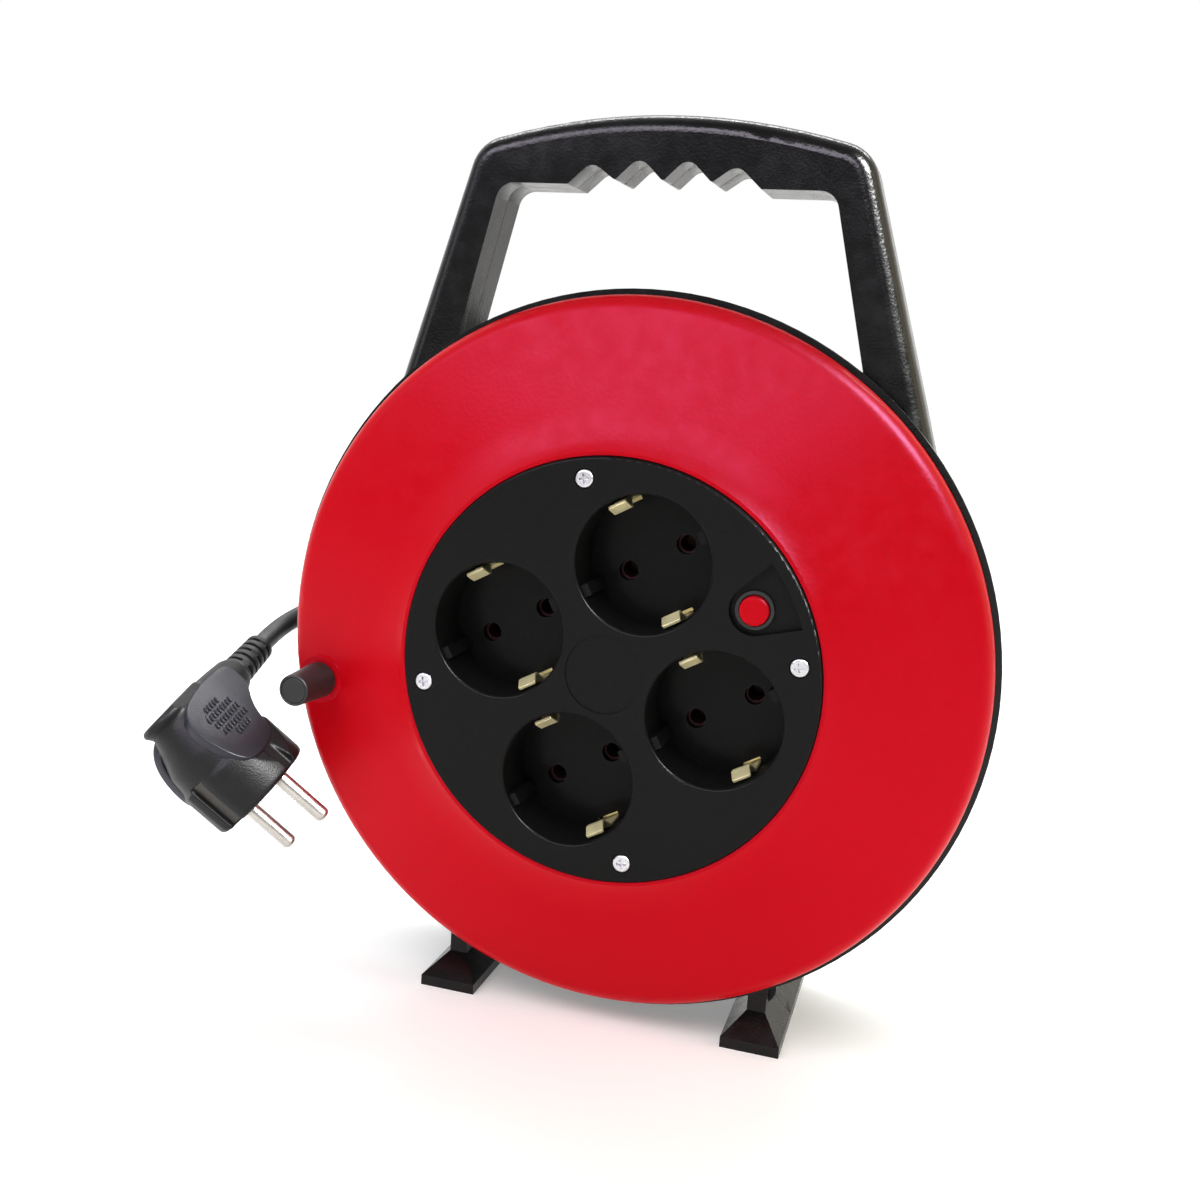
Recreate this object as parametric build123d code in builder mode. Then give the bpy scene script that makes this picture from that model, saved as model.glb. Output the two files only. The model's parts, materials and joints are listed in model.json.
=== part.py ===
from build123d import *

import math
import os

# Cable reel box with a four-socket drum, a carrying handle and a short lead with a plug.
#
# Millimetres. X points right, Y points to the back, Z points up. The origin is on the
# floor, under the middle of the box that bounds the reel without its free cord.
# A depth is measured backwards from the front face of the socket panel, and a height
# inside a "facing" sketch is measured from the drum's axis.

# ---------------------------------------------------------------- driving dimensions

# Overall
overall_depth = 83.6        # tip of the crank knob to the back of the housing
disc_radius = 106.3         # red front disc
floor_gap = 5.0             # housing lip above the floor
knob_proud = 7.6            # crank knob in front of the socket panel
drum_angle = 9.5            # how far the drum stands turned at rest, degrees

# Front disc
disc_wall = 2.5
disc_face_depth = 12.3      # where the cone meets the rounded rim
disc_rim_depth = 16.9       # widest circle of the rim
disc_back_depth = 19.0
disc_rim_width = 4.5        # radial width of the rounded rim
collar_depth = 1.0          # raised ring round the panel
collar_width = 1.1
collar_slope_width = 3.5
collar_slope_depth = 2.2
ledge_width = 4.1           # ring of the disc that the panel covers and clamps
rim_bulge = 1.85            # rounding of the rim in front of its straight corner
knob_boss_pad = 2.5         # boss wall round the knob's pin, behind the disc
knob_boss_behind = 2.8      # boss behind the disc's wall

# Socket panel
panel_radius = 61.6
panel_thickness = 3.0
panel_gap = 0.3
panel_edge = 0.8            # rounding of the panel's front edge
socket_circle = 33.67       # radius on which the four sockets stand
socket_turn = 20.0          # sockets stand this far round from the screws, degrees
socket_radius = 19.6
socket_depth = 17.5
socket_wall = 1.8
socket_floor = 2.5
pin_pitch = 19.0
pin_hole_radius = 2.9
rib_width = 3.6             # guide ribs on the socket's walls
rib_height = 1.8
rib_start = 1.6             # ribs begin this far behind the panel's front
rib_root = 0.4              # sunk into the socket's wall
mouth_round = 0.9           # rounding of a socket's mouth
clip_slot_width = 2.6       # slot in a socket's floor, across the clip's arm
screw_circle = 55.68
screw_radius = 1.5
screw_head_radius = 2.6
screw_head_height = 1.7
screw_length = 16.0
screw_proud = 0.5           # head in front of the panel
screw_edge = 0.6
screw_hole_gap = 0.3        # round a screw's shank and its head
cross_length = 2.9          # driving cross in a screw's head
cross_width = 0.7
cross_depth = 0.9
pilot_extra = 2.0           # pilot hole past a screw's tip
label_radius = 11.5         # shallow bare recess in the middle
label_depth = 0.4

# Contacts behind the sockets
clip_width = 5.6
clip_slot_gap = 0.5
clip_thickness = 0.8
clip_bow = 2.6              # how far a clip's arm stands into the socket
clip_bend_depth = 10.0      # where the arm starts to bend inwards
clip_bow_depth = 6.6        # where it stands furthest in
clip_bow_height = 1.0
clip_tip_depth = 2.6
clip_tip_stand = 0.6        # tip off the socket's wall
clip_side_gap = 0.1         # arm off the socket's wall
bus_pad_length = 24.0
sleeve_radius = 3.3
sleeve_bore = 2.45
sleeve_gap = 0.6
sleeve_length = 9.6
sleeve_end_wall = 0.5
rail_thickness = 1.0
rail_width = 6.0
bridge_gap = 1.0            # between a rail's end and its bridge
tab_width = 6.3
tab_thickness = 0.8
tab_length = 9.0            # out of the back of the carrier
carrier_thickness = 2.5
carrier_radius = 50.0
carrier_boss = 3.4
carrier_screw_length = 12.0
carrier_hole_gap = 0.2
tab_slot_gap = 0.5
breaker_window_gap = 2.0    # carrier round the cut-out
wire_radius = 1.3
wire_bend = 6.0
wire_straight = 6.0         # straight out of the lead and into a terminal
wire_spread = 1.75

# Thermal cut-out and its button
button_circle = 47.3
button_radius = 4.15
button_dome = 0.9
button_travel = 2.0
button_recess_depth = 2.2
button_recess_radius = 7.0
button_recess_half_angle = 9.8
button_recess_reach = 58.2
button_recess_wall = 0.9     # backing wall round the recess
button_seat_wall = 2.4       # recess floor to the cut-out's body
neck_radius = 5.4
neck_wall = 0.95
neck_clearance = 0.1
breaker_size = 14.0
breaker_length = 21.0
breaker_corner = 1.0
breaker_tab_offset = 3.5
breaker_tab_length = 10.0
button_proud = 0.6
button_skirt = 6.0          # depth of the button's back edge
neck_stand = 1.3            # neck in front of the recess floor
spring_radius = 2.7
spring_wire = 0.45
spring_turns = 5
spring_seat = 12.0          # depth of the spring's back end
spring_pocket = 1.6         # spring inside the button's skirt
spring_pocket_wall = 0.6
spring_pocket_gap = 0.2
plunger_radius = 1.5
plunger_gap = 0.3
plunger_past_seat = 1.5
plunger_end_gap = 1.5       # left behind the plunger when the button is pressed
plunger_root = 2.0          # where the plunger starts behind the button's face

# Drum
core_radius = 65.5
core_wall = 2.5
flange_radius = 98.0
flange_thickness = 2.5
web_thickness = 2.5
hub_recess_radius = 30.0
hub_recess_depth = 9.0
hub_wall = 2.9
tower_radius = 4.5
drum_end_gap = 2.0          # between the drum and the housing's back wall
lead_back_gap = 8.0         # lead's axis in front of the hub's web
lead_hole_gap = 0.3
clamp_circle = 46.0
clamp_width = 26.0
clamp_length = 10.0
clamp_height = 6.0          # clamp's front above the lead's axis
clamp_split_gap = 0.4       # between the clamp and its pedestal
clamp_corner = 2.0
clamp_screw_offset = 9.0
clamp_screw_depth = 9.0
clamp_hole_gap = 0.1
screw_end_gap = 1.0         # screw's tip off the end of its pilot hole

# Cable on the drum
cable_diameter = 6.6
cable_length = 10000.0      # wound on the drum
winding_front_gap = 3.0
winding_gap = 0.3           # round the core and off the flange
inner_lead_extra = 1.0      # lead past the end of its clamp

# Bearing
spindle_radius = 8.0
spindle_head_radius = 11.0
spindle_head_thickness = 1.5
bush_wall = 2.5
bush_length = 20.0
bush_flange_radius = 12.5
bush_flange_thickness = 0.9
bush_proud = 1.0            # bush in front of the hub
spindle_proud = 1.2         # spindle in front of the bush
washer_thickness = 1.2
washer_radius = 12.0
washer_hole_gap = 0.2
retainer_head_radius = 4.6
retainer_head_height = 2.6
retainer_radius = 2.4
retainer_length = 12.0
spindle_head_gap = 0.3      # in its seat in the back plate
spindle_edge = 0.5
hub_pad = 1.5               # housing boss outside the bush's flange
shaft_clearance = 0.05
press_clearance = 0.02
thrust_gap = 0.3

# Housing
lip_overhang = 1.8          # housing lip outside the disc
lip_gap = 0.8               # between the disc and the housing lip
lip_thickness = 2.5
lip_opening_radius = 96.5
housing_wall = 2.6
housing_step = 2.1          # lip outside the wall
housing_taper = 1.4         # the wall is smaller at the back by this
back_wall = 2.5
back_round = 4.0
back_ring_outer = 84.0      # shallow ring pressed into the back plate
back_ring_inner = 34.0
back_ring_depth = 0.8
seam_gap = 0.2              # shadow line between the two housing halves

# Handle
handle_depth = 27.5
handle_thickness = 20.0
hand_room = 28.9            # housing lip to the underside of the grip
grip_height = 20.2
crown_drop = 8.6            # crown above the outer corners
arm_outer = 61.5            # half widths at the grip's underside
arm_inner = 49.2
arm_outer_lean = 0.31       # outward per unit down
arm_inner_lean = 0.25
notch_count = 4
notch_pitch = 14.2
notch_height = 8.2          # finger notches in the middle, before their tops are rounded
notch_end_height = 6.4      # the same for the two at the ends
tooth_height = 1.4          # teeth between the notches, above the grip's underside
notch_round = 3.6
tooth_round = 1.0
handle_round = 5.2
handle_corner = 12.0
handle_inner_corner = 5.5
handle_root = 0.5           # arms run down to this share of the lip's radius

# Screws of the housing
housing_screw_radius = 1.75
housing_screw_head = 3.4
housing_screw_head_height = 2.2
housing_screw_seat = 3.0    # sunk into the back of the handle
housing_screw_front = 2.0   # plastic left in front of the pilot hole
housing_screw_gap = 0.25
housing_cross_length = 4.0
housing_cross_width = 0.9
housing_cross_depth = 1.2
arm_screw_drop = 10.0       # below the grip's underside
root_screw_drop = 25.0      # below the housing lip
leg_boss_radius = 5.0
leg_boss_stand = 3.6        # boss centre outside the wall

# Feet
foot_inner = 39.85
foot_outer = 57.8
foot_front_depth = 14.3
foot_back_depth = 70.0
foot_edge = 3.3
foot_slope_height = 6.0
foot_slope_front = 8.5
foot_slope_back = 2.0
leg_width = 5.7
leg_back_gap = 6.0
leg_root = 0.25             # legs run up by this share of the lip's radius

# Crank knob
knob_circle = 95.1
knob_base_radius = 5.6
knob_tip_radius = 4.8
knob_boss_radius = 7.4
knob_boss_height = 1.8
knob_pin_radius = 2.0
knob_pin_head_radius = 3.2
knob_pin_head_height = 1.6
knob_gap = 0.35
knob_cap_thickness = 1.2
knob_cap_rim = 0.8
knob_cap_sink = 0.15
knob_cap_edge = 0.3
knob_tip_edge = 0.5
knob_head_gap = 0.3
knob_head_behind_cap = 0.6

# Plug: the pins' middle at the plug's face, and the way the pins and the cable point
plug_gap = -0.1                        # pins' middle outside the housing lip
plug_depth = 0.5
plug_drop = 52.0                       # below the drum's axis
plug_pin_way = (0.70, 0.27, -0.66)
plug_cable_way = (-0.045, 0.935, 0.35)
plug_face_radius = 17.5
plug_flat = 16.6                       # half width over the earth contacts
plug_puck_length = 15.0
plug_pin_radius = 2.4
plug_pin_length = 19.0
plug_arm_back = 31.0                   # cable axis behind the face
plug_arm_reach = 29.0
plug_arm_radius = 8.0
relief_length = 18.0
relief_radius = 5.2
relief_neck_radius = 4.1
relief_rib_count = 5
relief_rib_taper = 0.12                # each rib is smaller by this
relief_rib_share = 0.6                 # of its pitch
plug_tail_size = (23.0, 17.0)          # end of the body behind the face
plug_tail_shift = 2.5                  # towards the cable
plug_tail_corner = 5.0
plug_arm_end_wall = 1.2                # arm's end round the strain relief
plug_pin_root = 10.0                   # pins sunk into the body
plug_pin_round = 1.6
earth_hole_offset = 10.5
earth_hole_radius = 2.6
earth_hole_depth = 12.0
contact_groove_width = 5.4
contact_groove_depth = 2.2
contact_thickness = 0.8
contact_side_gap = 0.3
contact_front_gap = 0.8                # contact's end behind the face
groove_past_puck = 2.0
guide_groove_width = 4.6
guide_groove_depth = 2.0
guide_groove_short = 1.5               # ends this far before the puck's back

# Free cord, from the plug's strain relief to the housing: x, depth, height from the axis
cord_start_run = 9.8
cord_run = 10.6
cord_end_run = 10.4
cord_turns = 4
outlet_way = (0.98, 0.0, 0.2)          # the way the cord runs where it enters the housing
outlet_bore_gap = 0.3
outlet_wall = 1.8
outlet_collar = 1.3
outlet_collar_height = 2.2
outlet_depth_inside = 3.0
outlet_edge = 0.6

# ---------------------------------------------------------------- places worked out

panel_y = knob_proud - overall_depth / 2
housing_back = overall_depth - knob_proud
lip_radius = disc_radius + lip_overhang
axis_height = lip_radius + floor_gap
socket_angle = drum_angle + socket_turn
lip_front = disc_back_depth + lip_gap
lip_back = lip_front + lip_thickness
split_depth = handle_depth + handle_thickness / 2
drum_back = housing_back - back_wall - drum_end_gap
flange_front = drum_back - flange_thickness
core_front = panel_thickness + disc_wall
grip_under = lip_radius + hand_room
grip_top = grip_under + grip_height
axis_line = Axis((0, panel_y, axis_height), (0, 1, 0))
arc_share = 0.45                       # of the shorter run, taken up by each arc of a bent cord
arc_middle = 1 - math.sqrt(0.5)        # how far the middle of a quarter round stands in from its corner
radial_plane = Plane(origin=(0, panel_y, axis_height), x_dir=(1, 0, 0), z_dir=(0, 0, 1))


def facing(depth):
    """Plane across the drum axis at a depth, seen from the front."""
    return Plane(origin=(0, panel_y + depth, axis_height), x_dir=(1, 0, 0), z_dir=(0, -1, 0))


def point(x, depth, height):
    """A place given by its depth behind the panel and its height above the axis."""
    return Vector(x, panel_y + depth, axis_height + height)


def turned(radius, angle):
    """Sketch coordinates at a radius and an angle about the drum axis."""
    a = math.radians(angle)
    return (radius * math.cos(a), radius * math.sin(a))


def facing_at(radius, angle, depth):
    """Plane facing the front whose origin is off the drum axis and whose x points outwards."""
    x, z = turned(radius, angle)
    way = turned(1, angle)
    return Plane(origin=point(x, depth, z), x_dir=(way[0], 0, way[1]), z_dir=(0, -1, 0))


def run_between(a, b):
    """Length from one point of the route to the next."""
    return (b - a).length


def route_radii(points):
    """Largest arc at each corner of the route that its two runs allow."""
    radii = []
    for before, corner, after in zip(points, points[1:], points[2:]):
        turn = (corner - before).get_angle(after - corner)
        shorter = min(run_between(before, corner), run_between(corner, after))
        radii.append(arc_share * shorter / math.tan(math.radians(turn) / 2))
    return radii


def save(piece, name):
    """Label a finished piece and write its STEP file."""
    piece.part.label = name
    export_step(piece.part, f"parts/{name}.step")


def turn_profile(points):
    """Revolve a closed profile of (radius, depth) points about the drum axis."""
    with BuildSketch(radial_plane) as profile:
        with BuildLine():
            Polyline(*points, close=True)
        make_face()
    revolve(profile.sketch, axis=axis_line)


os.makedirs("parts", exist_ok=True)

knob_angle = drum_angle + 180
screw_angles = [drum_angle + 90 * i for i in range(4)]
socket_angles = [socket_angle + 45 + 90 * i for i in range(4)]


seat_radius = panel_radius + panel_gap
cone_start = seat_radius + collar_width + collar_slope_width
cone_end = disc_radius - disc_rim_width


def disc_face_at(radius):
    """Depth of the disc's cone at a radius."""
    start_depth = collar_depth + collar_slope_depth
    share = (radius - cone_start) / (cone_end - cone_start)
    return start_depth + share * (disc_face_depth - start_depth)


# ---------------------------------------------------------------- drum: red front disc

ledge_inner = panel_radius - ledge_width
knob_boss_front = disc_face_at(knob_circle) - knob_boss_height
knob_pin_back = disc_face_at(knob_circle) + disc_wall + knob_boss_behind

with BuildPart() as front_disc:
    with BuildSketch(radial_plane):
        with BuildLine():
            Polyline(
                (ledge_inner, core_front),
                (ledge_inner, panel_thickness),
                (seat_radius, panel_thickness),
                (seat_radius, collar_depth),
                (seat_radius + collar_width, collar_depth),
                (cone_start, collar_depth + collar_slope_depth),
                (cone_end, disc_face_depth),
            )
            ThreePointArc(
                (cone_end, disc_face_depth),
                (disc_radius - arc_middle * disc_rim_width, disc_face_depth + rim_bulge),
                (disc_radius, disc_rim_depth),
            )
            Polyline(
                (disc_radius, disc_rim_depth),
                (disc_radius, disc_back_depth),
                (disc_radius - disc_wall, disc_back_depth),
                (disc_radius - disc_wall, disc_rim_depth),
                (cone_end - disc_wall / 2, disc_face_depth + disc_wall),
                (cone_start, collar_depth + collar_slope_depth + disc_wall),
                (core_radius, core_front),
                (ledge_inner, core_front),
            )
        make_face()
    revolve(axis=axis_line)
    with BuildSketch(facing_at(knob_circle, knob_angle, knob_boss_front)):
        Circle(knob_boss_radius)
    extrude(amount=-(knob_pin_back - knob_boss_front - knob_boss_behind))
    with BuildSketch(facing_at(knob_circle, knob_angle, knob_boss_front)):
        Circle(knob_pin_radius + knob_boss_pad)
    extrude(amount=-(knob_pin_back - knob_boss_front))
    with BuildSketch(facing_at(knob_circle, knob_angle, knob_boss_front)):
        Circle(knob_pin_radius)
    extrude(amount=-(knob_pin_back - knob_boss_front), mode=Mode.SUBTRACT)
    for angle in screw_angles:
        with BuildSketch(facing_at(screw_circle, angle, panel_thickness)):
            Circle(tower_radius + panel_gap)
        extrude(amount=-disc_wall, mode=Mode.SUBTRACT)
save(front_disc, "front_disc")

# ---------------------------------------------------------------- drum: socket panel

cup_radius = socket_radius + socket_wall
cup_back = socket_depth + socket_floor
breaker_seat = button_recess_depth + button_seat_wall
clip_stand = math.sqrt(socket_radius**2 - (clip_width / 2) ** 2) - clip_side_gap
sleeve_front = cup_back + sleeve_gap
rail_front = sleeve_front + sleeve_length
rail_back = rail_front + rail_thickness
socket_offset = socket_circle / math.sqrt(2)
grid_way = turned(1, socket_angle)


def grid_plane(depth):
    """Plane on the drum axis turned with the sockets: x along pins, y along earth clips."""
    return Plane(origin=point(0, depth, 0), x_dir=(grid_way[0], 0, grid_way[1]), z_dir=(0, -1, 0))


def grid_point(x, y, depth):
    """A place given in the grid plane at a depth."""
    return grid_plane(depth).from_local_coords((x, y, 0))


def socket_plane(angle, depth):
    """Plane at one socket, x along its pins and y along its earth clips."""
    x, z = turned(socket_circle, angle)
    way = turned(1, socket_angle)
    return Plane(origin=point(x, depth, z), x_dir=(way[0], 0, way[1]), z_dir=(0, -1, 0))


def fan_outline(grow, limit):
    """Recess round the button that opens out towards the panel's edge, grown and then cut at a radius."""
    with BuildSketch(facing_at(button_circle, socket_angle, 0)) as outline:
        Circle(button_recess_radius + grow)
        inner = button_recess_radius + grow
        reach = button_recess_reach + grow
        spread = math.radians(button_recess_half_angle) + grow / reach
        outer_x = reach * math.cos(spread) - button_circle
        outer_y = reach * math.sin(spread)
        start = (inner * math.cos(math.radians(100)), inner * math.sin(math.radians(100)))
        with BuildLine():
            Line((start[0], -start[1]), start)
            Line(start, (outer_x, outer_y))
            ThreePointArc((outer_x, outer_y), (reach - button_circle, 0), (outer_x, -outer_y))
            Line((outer_x, -outer_y), (start[0], -start[1]))
        make_face()
        with Locations((-button_circle, 0)):
            Circle(limit, mode=Mode.INTERSECT)
    return outline


with BuildPart() as socket_panel:
    with BuildSketch(facing(0)):
        Circle(panel_radius)
    extrude(amount=-panel_thickness)
    fillet(socket_panel.edges().group_by(Axis.Y)[0], panel_edge)
    fan_boss = fan_outline(button_recess_wall, ledge_inner - panel_gap)
    extrude(fan_boss.sketch, amount=-breaker_seat)
    for angle in screw_angles:
        with BuildSketch(facing_at(screw_circle, angle, panel_thickness)):
            Circle(tower_radius)
        extrude(amount=-disc_wall)
    for angle in socket_angles:
        with BuildSketch(socket_plane(angle, panel_thickness)):
            Circle(cup_radius)
        extrude(amount=-(cup_back - panel_thickness))
    with BuildSketch(grid_plane(panel_thickness)):
        with Locations((0, socket_offset), (0, -socket_offset)):
            Circle(carrier_boss)
    extrude(amount=-(rail_back - panel_thickness))
    with BuildSketch(grid_plane(rail_back)):
        with Locations((0, socket_offset), (0, -socket_offset)):
            Circle(screw_radius)
    extrude(amount=carrier_screw_length, mode=Mode.SUBTRACT)
    for angle in socket_angles:
        with BuildSketch(socket_plane(angle, 0)):
            Circle(socket_radius)
        extrude(amount=-socket_depth, mode=Mode.SUBTRACT)
        with BuildSketch(socket_plane(angle, rib_start)):
            with Locations((socket_radius - rib_height / 2, 0), (-socket_radius + rib_height / 2, 0)):
                Rectangle(rib_height + 2 * rib_root, rib_width)
        extrude(amount=-(socket_depth - rib_start))
        with BuildSketch(socket_plane(angle, socket_depth)):
            with Locations((pin_pitch / 2, 0), (-pin_pitch / 2, 0)):
                Circle(pin_hole_radius)
            slot_middle = clip_stand + clip_slot_gap - clip_slot_width / 2
            with Locations((0, slot_middle), (0, -slot_middle)):
                Rectangle(clip_width + 2 * clip_slot_gap, clip_slot_width)
        extrude(amount=-socket_floor, mode=Mode.SUBTRACT)
    mouths = [
        e for e in socket_panel.edges().filter_by(GeomType.CIRCLE)
        if abs(e.radius - socket_radius) < 0.01 and abs(e.arc_center.Y - panel_y) < 0.01
    ]
    fillet(mouths, mouth_round)
    with BuildSketch(facing(0)):
        Circle(label_radius)
    extrude(amount=-label_depth, mode=Mode.SUBTRACT)
    fan_pocket = fan_outline(0, panel_radius)
    extrude(fan_pocket.sketch, amount=-button_recess_depth, mode=Mode.SUBTRACT)
    with BuildSketch(facing_at(button_circle, socket_angle, 0)):
        Circle(neck_radius + neck_clearance)
    extrude(amount=-breaker_seat, mode=Mode.SUBTRACT)
    for angle in screw_angles:
        with BuildSketch(facing_at(screw_circle, angle, 0)):
            Circle(screw_radius + screw_hole_gap)
        extrude(amount=-core_front, mode=Mode.SUBTRACT)
        with BuildSketch(facing_at(screw_circle, angle, 0)):
            Circle(screw_head_radius + screw_hole_gap)
        extrude(amount=-(screw_head_height - screw_proud), mode=Mode.SUBTRACT)
save(socket_panel, "socket_panel")

# ---------------------------------------------------------------- drum: core

hub_radius = spindle_radius + shaft_clearance + bush_wall
web_back = drum_back - hub_recess_depth
web_front = web_back - web_thickness
hub_front = web_back - bush_length
lead_angle = socket_angle + 135
lead_depth = web_front - lead_back_gap
lead_radius = cable_diameter / 2
clamped_length = core_radius - clamp_circle + clamp_length    # from the core's outside through the clamp

with BuildPart() as drum_core:
    turn_profile([
        (core_radius, core_front),
        (core_radius, flange_front),
        (flange_radius, flange_front),
        (flange_radius, drum_back),
        (hub_recess_radius - web_thickness, drum_back),
        (hub_recess_radius - web_thickness, web_back),
        (hub_radius, web_back),
        (hub_radius, hub_front),
        (hub_radius + hub_wall, hub_front),
        (hub_radius + hub_wall, web_front),
        (hub_recess_radius, web_front),
        (hub_recess_radius, flange_front),
        (core_radius - core_wall, flange_front),
        (core_radius - core_wall, core_front),
    ])
    for angle in screw_angles:
        with BuildSketch(facing_at(screw_circle, angle, core_front)):
            Circle(tower_radius)
        extrude(amount=-(flange_front - core_front))
        with BuildSketch(facing_at(screw_circle, angle, core_front)):
            Circle(screw_radius)
        extrude(amount=-(screw_length + pilot_extra), mode=Mode.SUBTRACT)
    with BuildSketch(facing_at(clamp_circle, lead_angle, lead_depth)):
        Rectangle(clamp_length, clamp_width)
    extrude(amount=-(flange_front - lead_depth))
    lead_x, lead_z = turned(1, lead_angle)
    lead_axis_plane = Plane(
        origin=point(lead_x * core_radius, lead_depth, lead_z * core_radius),
        x_dir=(0, 1, 0),
        z_dir=(-lead_x, 0, -lead_z),
    )
    with BuildSketch(lead_axis_plane.offset(-core_wall)):
        Circle(lead_radius + lead_hole_gap)
    extrude(amount=core_wall + clamped_length, mode=Mode.SUBTRACT)
    with BuildSketch(facing_at(clamp_circle, lead_angle, lead_depth)):
        with Locations((0, clamp_screw_offset), (0, -clamp_screw_offset)):
            Circle(screw_radius)
    extrude(amount=-clamp_screw_depth, mode=Mode.SUBTRACT)
save(drum_core, "drum_core")

# ---------------------------------------------------------------- drum: screws of the panel

with BuildPart() as panel_screws:
    for angle in screw_angles:
        with BuildSketch(facing_at(screw_circle, angle, -screw_proud)):
            Circle(screw_head_radius)
        extrude(amount=-screw_head_height)
        with BuildSketch(facing_at(screw_circle, angle, 0)):
            Circle(screw_radius - press_clearance)
        extrude(amount=-screw_length)
    heads = [
        e for e in panel_screws.edges().filter_by(GeomType.CIRCLE)
        if abs(e.radius - screw_head_radius) < 0.01 and abs(e.arc_center.Y - panel_y + screw_proud) < 0.01
    ]
    fillet(heads, screw_edge)
    for angle in screw_angles:
        with BuildSketch(facing_at(screw_circle, angle, -screw_proud)):
            Rectangle(cross_length, cross_width)
            Rectangle(cross_width, cross_length)
        extrude(amount=-cross_depth, mode=Mode.SUBTRACT)
save(panel_screws, "panel_screws")

# ---------------------------------------------------------------- drum: contacts

for number, angle in enumerate(socket_angles, start=1):
    with BuildPart() as earth_clip:
        with BuildSketch(socket_plane(angle, cup_back)):
            Rectangle(clip_width, 2 * clip_stand)
        extrude(amount=-clip_thickness)
        for side in (1, -1):
            plane = socket_plane(angle, 0)
            arm_plane = Plane(
                origin=plane.origin - plane.x_dir * (clip_width / 2),
                x_dir=plane.y_dir * side,
                z_dir=plane.x_dir,
            )
            deeper = 1 if arm_plane.y_dir.Y > 0 else -1
            bow = clip_stand - clip_bow
            tip = clip_stand - clip_tip_stand
            thick = clip_thickness
            lean = 0.4 * thick
            outside = [
                (clip_stand, cup_back + thick),
                (clip_stand, clip_bend_depth),
                (bow, clip_bow_depth),
                (bow, clip_bow_depth - clip_bow_height),
                (tip, clip_tip_depth),
            ]
            inside = [
                (tip - thick, clip_tip_depth - lean),
                (bow - thick, clip_bow_depth - clip_bow_height - lean),
                (bow - thick, clip_bow_depth + lean),
                (clip_stand - thick, clip_bend_depth + lean),
                (clip_stand - thick, cup_back + thick),
            ]
            with BuildSketch(arm_plane):
                with BuildLine():
                    Polyline(*[(x, deeper * depth) for x, depth in outside + inside], close=True)
                make_face()
            extrude(amount=clip_width)
    save(earth_clip, f"earth_clip_{number}")

carrier_back = rail_back + carrier_thickness
tab_back = carrier_back + tab_length
bridge_y = socket_offset + rail_width + bridge_gap
live_tab = (-socket_offset / 2.5, bridge_y)
neutral_tab = (socket_offset / 2.5, -bridge_y)
earth_tab = (-socket_offset, 0)


def add_tab(place, front):
    """Push-on tab that stands back through the carrier."""
    with BuildSketch(grid_plane(front)) as foot:
        with Locations(place):
            Rectangle(tab_width, tab_thickness)
    extrude(foot.sketch, amount=-(tab_back - front))


with BuildPart() as earth_bus:
    bus_depth = cup_back + clip_thickness
    with BuildSketch(grid_plane(bus_depth)):
        with Locations((socket_offset, 0), (-socket_offset, 0)):
            Rectangle(clip_width, bus_pad_length)
        Rectangle(2 * socket_offset, clip_width)
    extrude(amount=-rail_thickness)
    add_tab(earth_tab, bus_depth)
save(earth_bus, "earth_bus")


def contact_rail(name, columns, bridge_y, tab):
    """Two bars with a sleeve behind each pin hole, joined by a bridge at one end."""
    with BuildPart() as rail:
        with BuildSketch(grid_plane(rail_front)):
            for x in columns:
                with Locations((x, 0)):
                    Rectangle(rail_width, 2 * socket_offset + rail_width)
                with Locations((x, bridge_y / 2)):
                    Rectangle(rail_width, abs(bridge_y))
            with Locations((sum(columns) / 2, bridge_y)):
                Rectangle(abs(columns[0] - columns[1]) + rail_width, rail_width)
        extrude(amount=-rail_thickness)
        for x in columns:
            for y in (socket_offset, -socket_offset):
                with BuildSketch(grid_plane(sleeve_front)):
                    with Locations((x, y)):
                        Circle(sleeve_radius)
                extrude(amount=-(rail_front - sleeve_front))
                with BuildSketch(grid_plane(sleeve_front)):
                    with Locations((x, y)):
                        Circle(sleeve_bore)
                extrude(amount=-(sleeve_length - sleeve_end_wall), mode=Mode.SUBTRACT)
        add_tab(tab, rail_front)
    save(rail, name)


contact_rail("live_rail", (-socket_offset - pin_pitch / 2, socket_offset - pin_pitch / 2),
             bridge_y, live_tab)
contact_rail("neutral_rail", (-socket_offset + pin_pitch / 2, socket_offset + pin_pitch / 2),
             -bridge_y, neutral_tab)

with BuildPart() as contact_carrier:
    with BuildSketch(grid_plane(rail_back)):
        Circle(carrier_radius)
        with Locations((button_circle, 0)):
            window = breaker_size + 2 * breaker_window_gap
            Rectangle(window, window, mode=Mode.SUBTRACT)
        with Locations(live_tab, neutral_tab, earth_tab):
            Rectangle(tab_width + 2 * tab_slot_gap, tab_thickness + 2 * tab_slot_gap, mode=Mode.SUBTRACT)
        with Locations((0, socket_offset), (0, -socket_offset)):
            Circle(screw_radius + carrier_hole_gap, mode=Mode.SUBTRACT)
    extrude(amount=-carrier_thickness)
save(contact_carrier, "contact_carrier")

with BuildPart() as carrier_screws:
    with BuildSketch(grid_plane(carrier_back)):
        with Locations((0, socket_offset), (0, -socket_offset)):
            Circle(screw_head_radius)
    extrude(amount=-screw_head_height)
    with BuildSketch(grid_plane(carrier_back)):
        with Locations((0, socket_offset), (0, -socket_offset)):
            Circle(screw_radius - press_clearance)
    extrude(amount=carrier_thickness + carrier_screw_length - screw_end_gap)
save(carrier_screws, "carrier_screws")

# ---------------------------------------------------------------- drum: thermal cut-out

neck_front = button_recess_depth - neck_stand
breaker_tab_back = breaker_seat + breaker_length + breaker_tab_length
button_front = -button_proud
spring_front = button_skirt - spring_pocket

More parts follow.
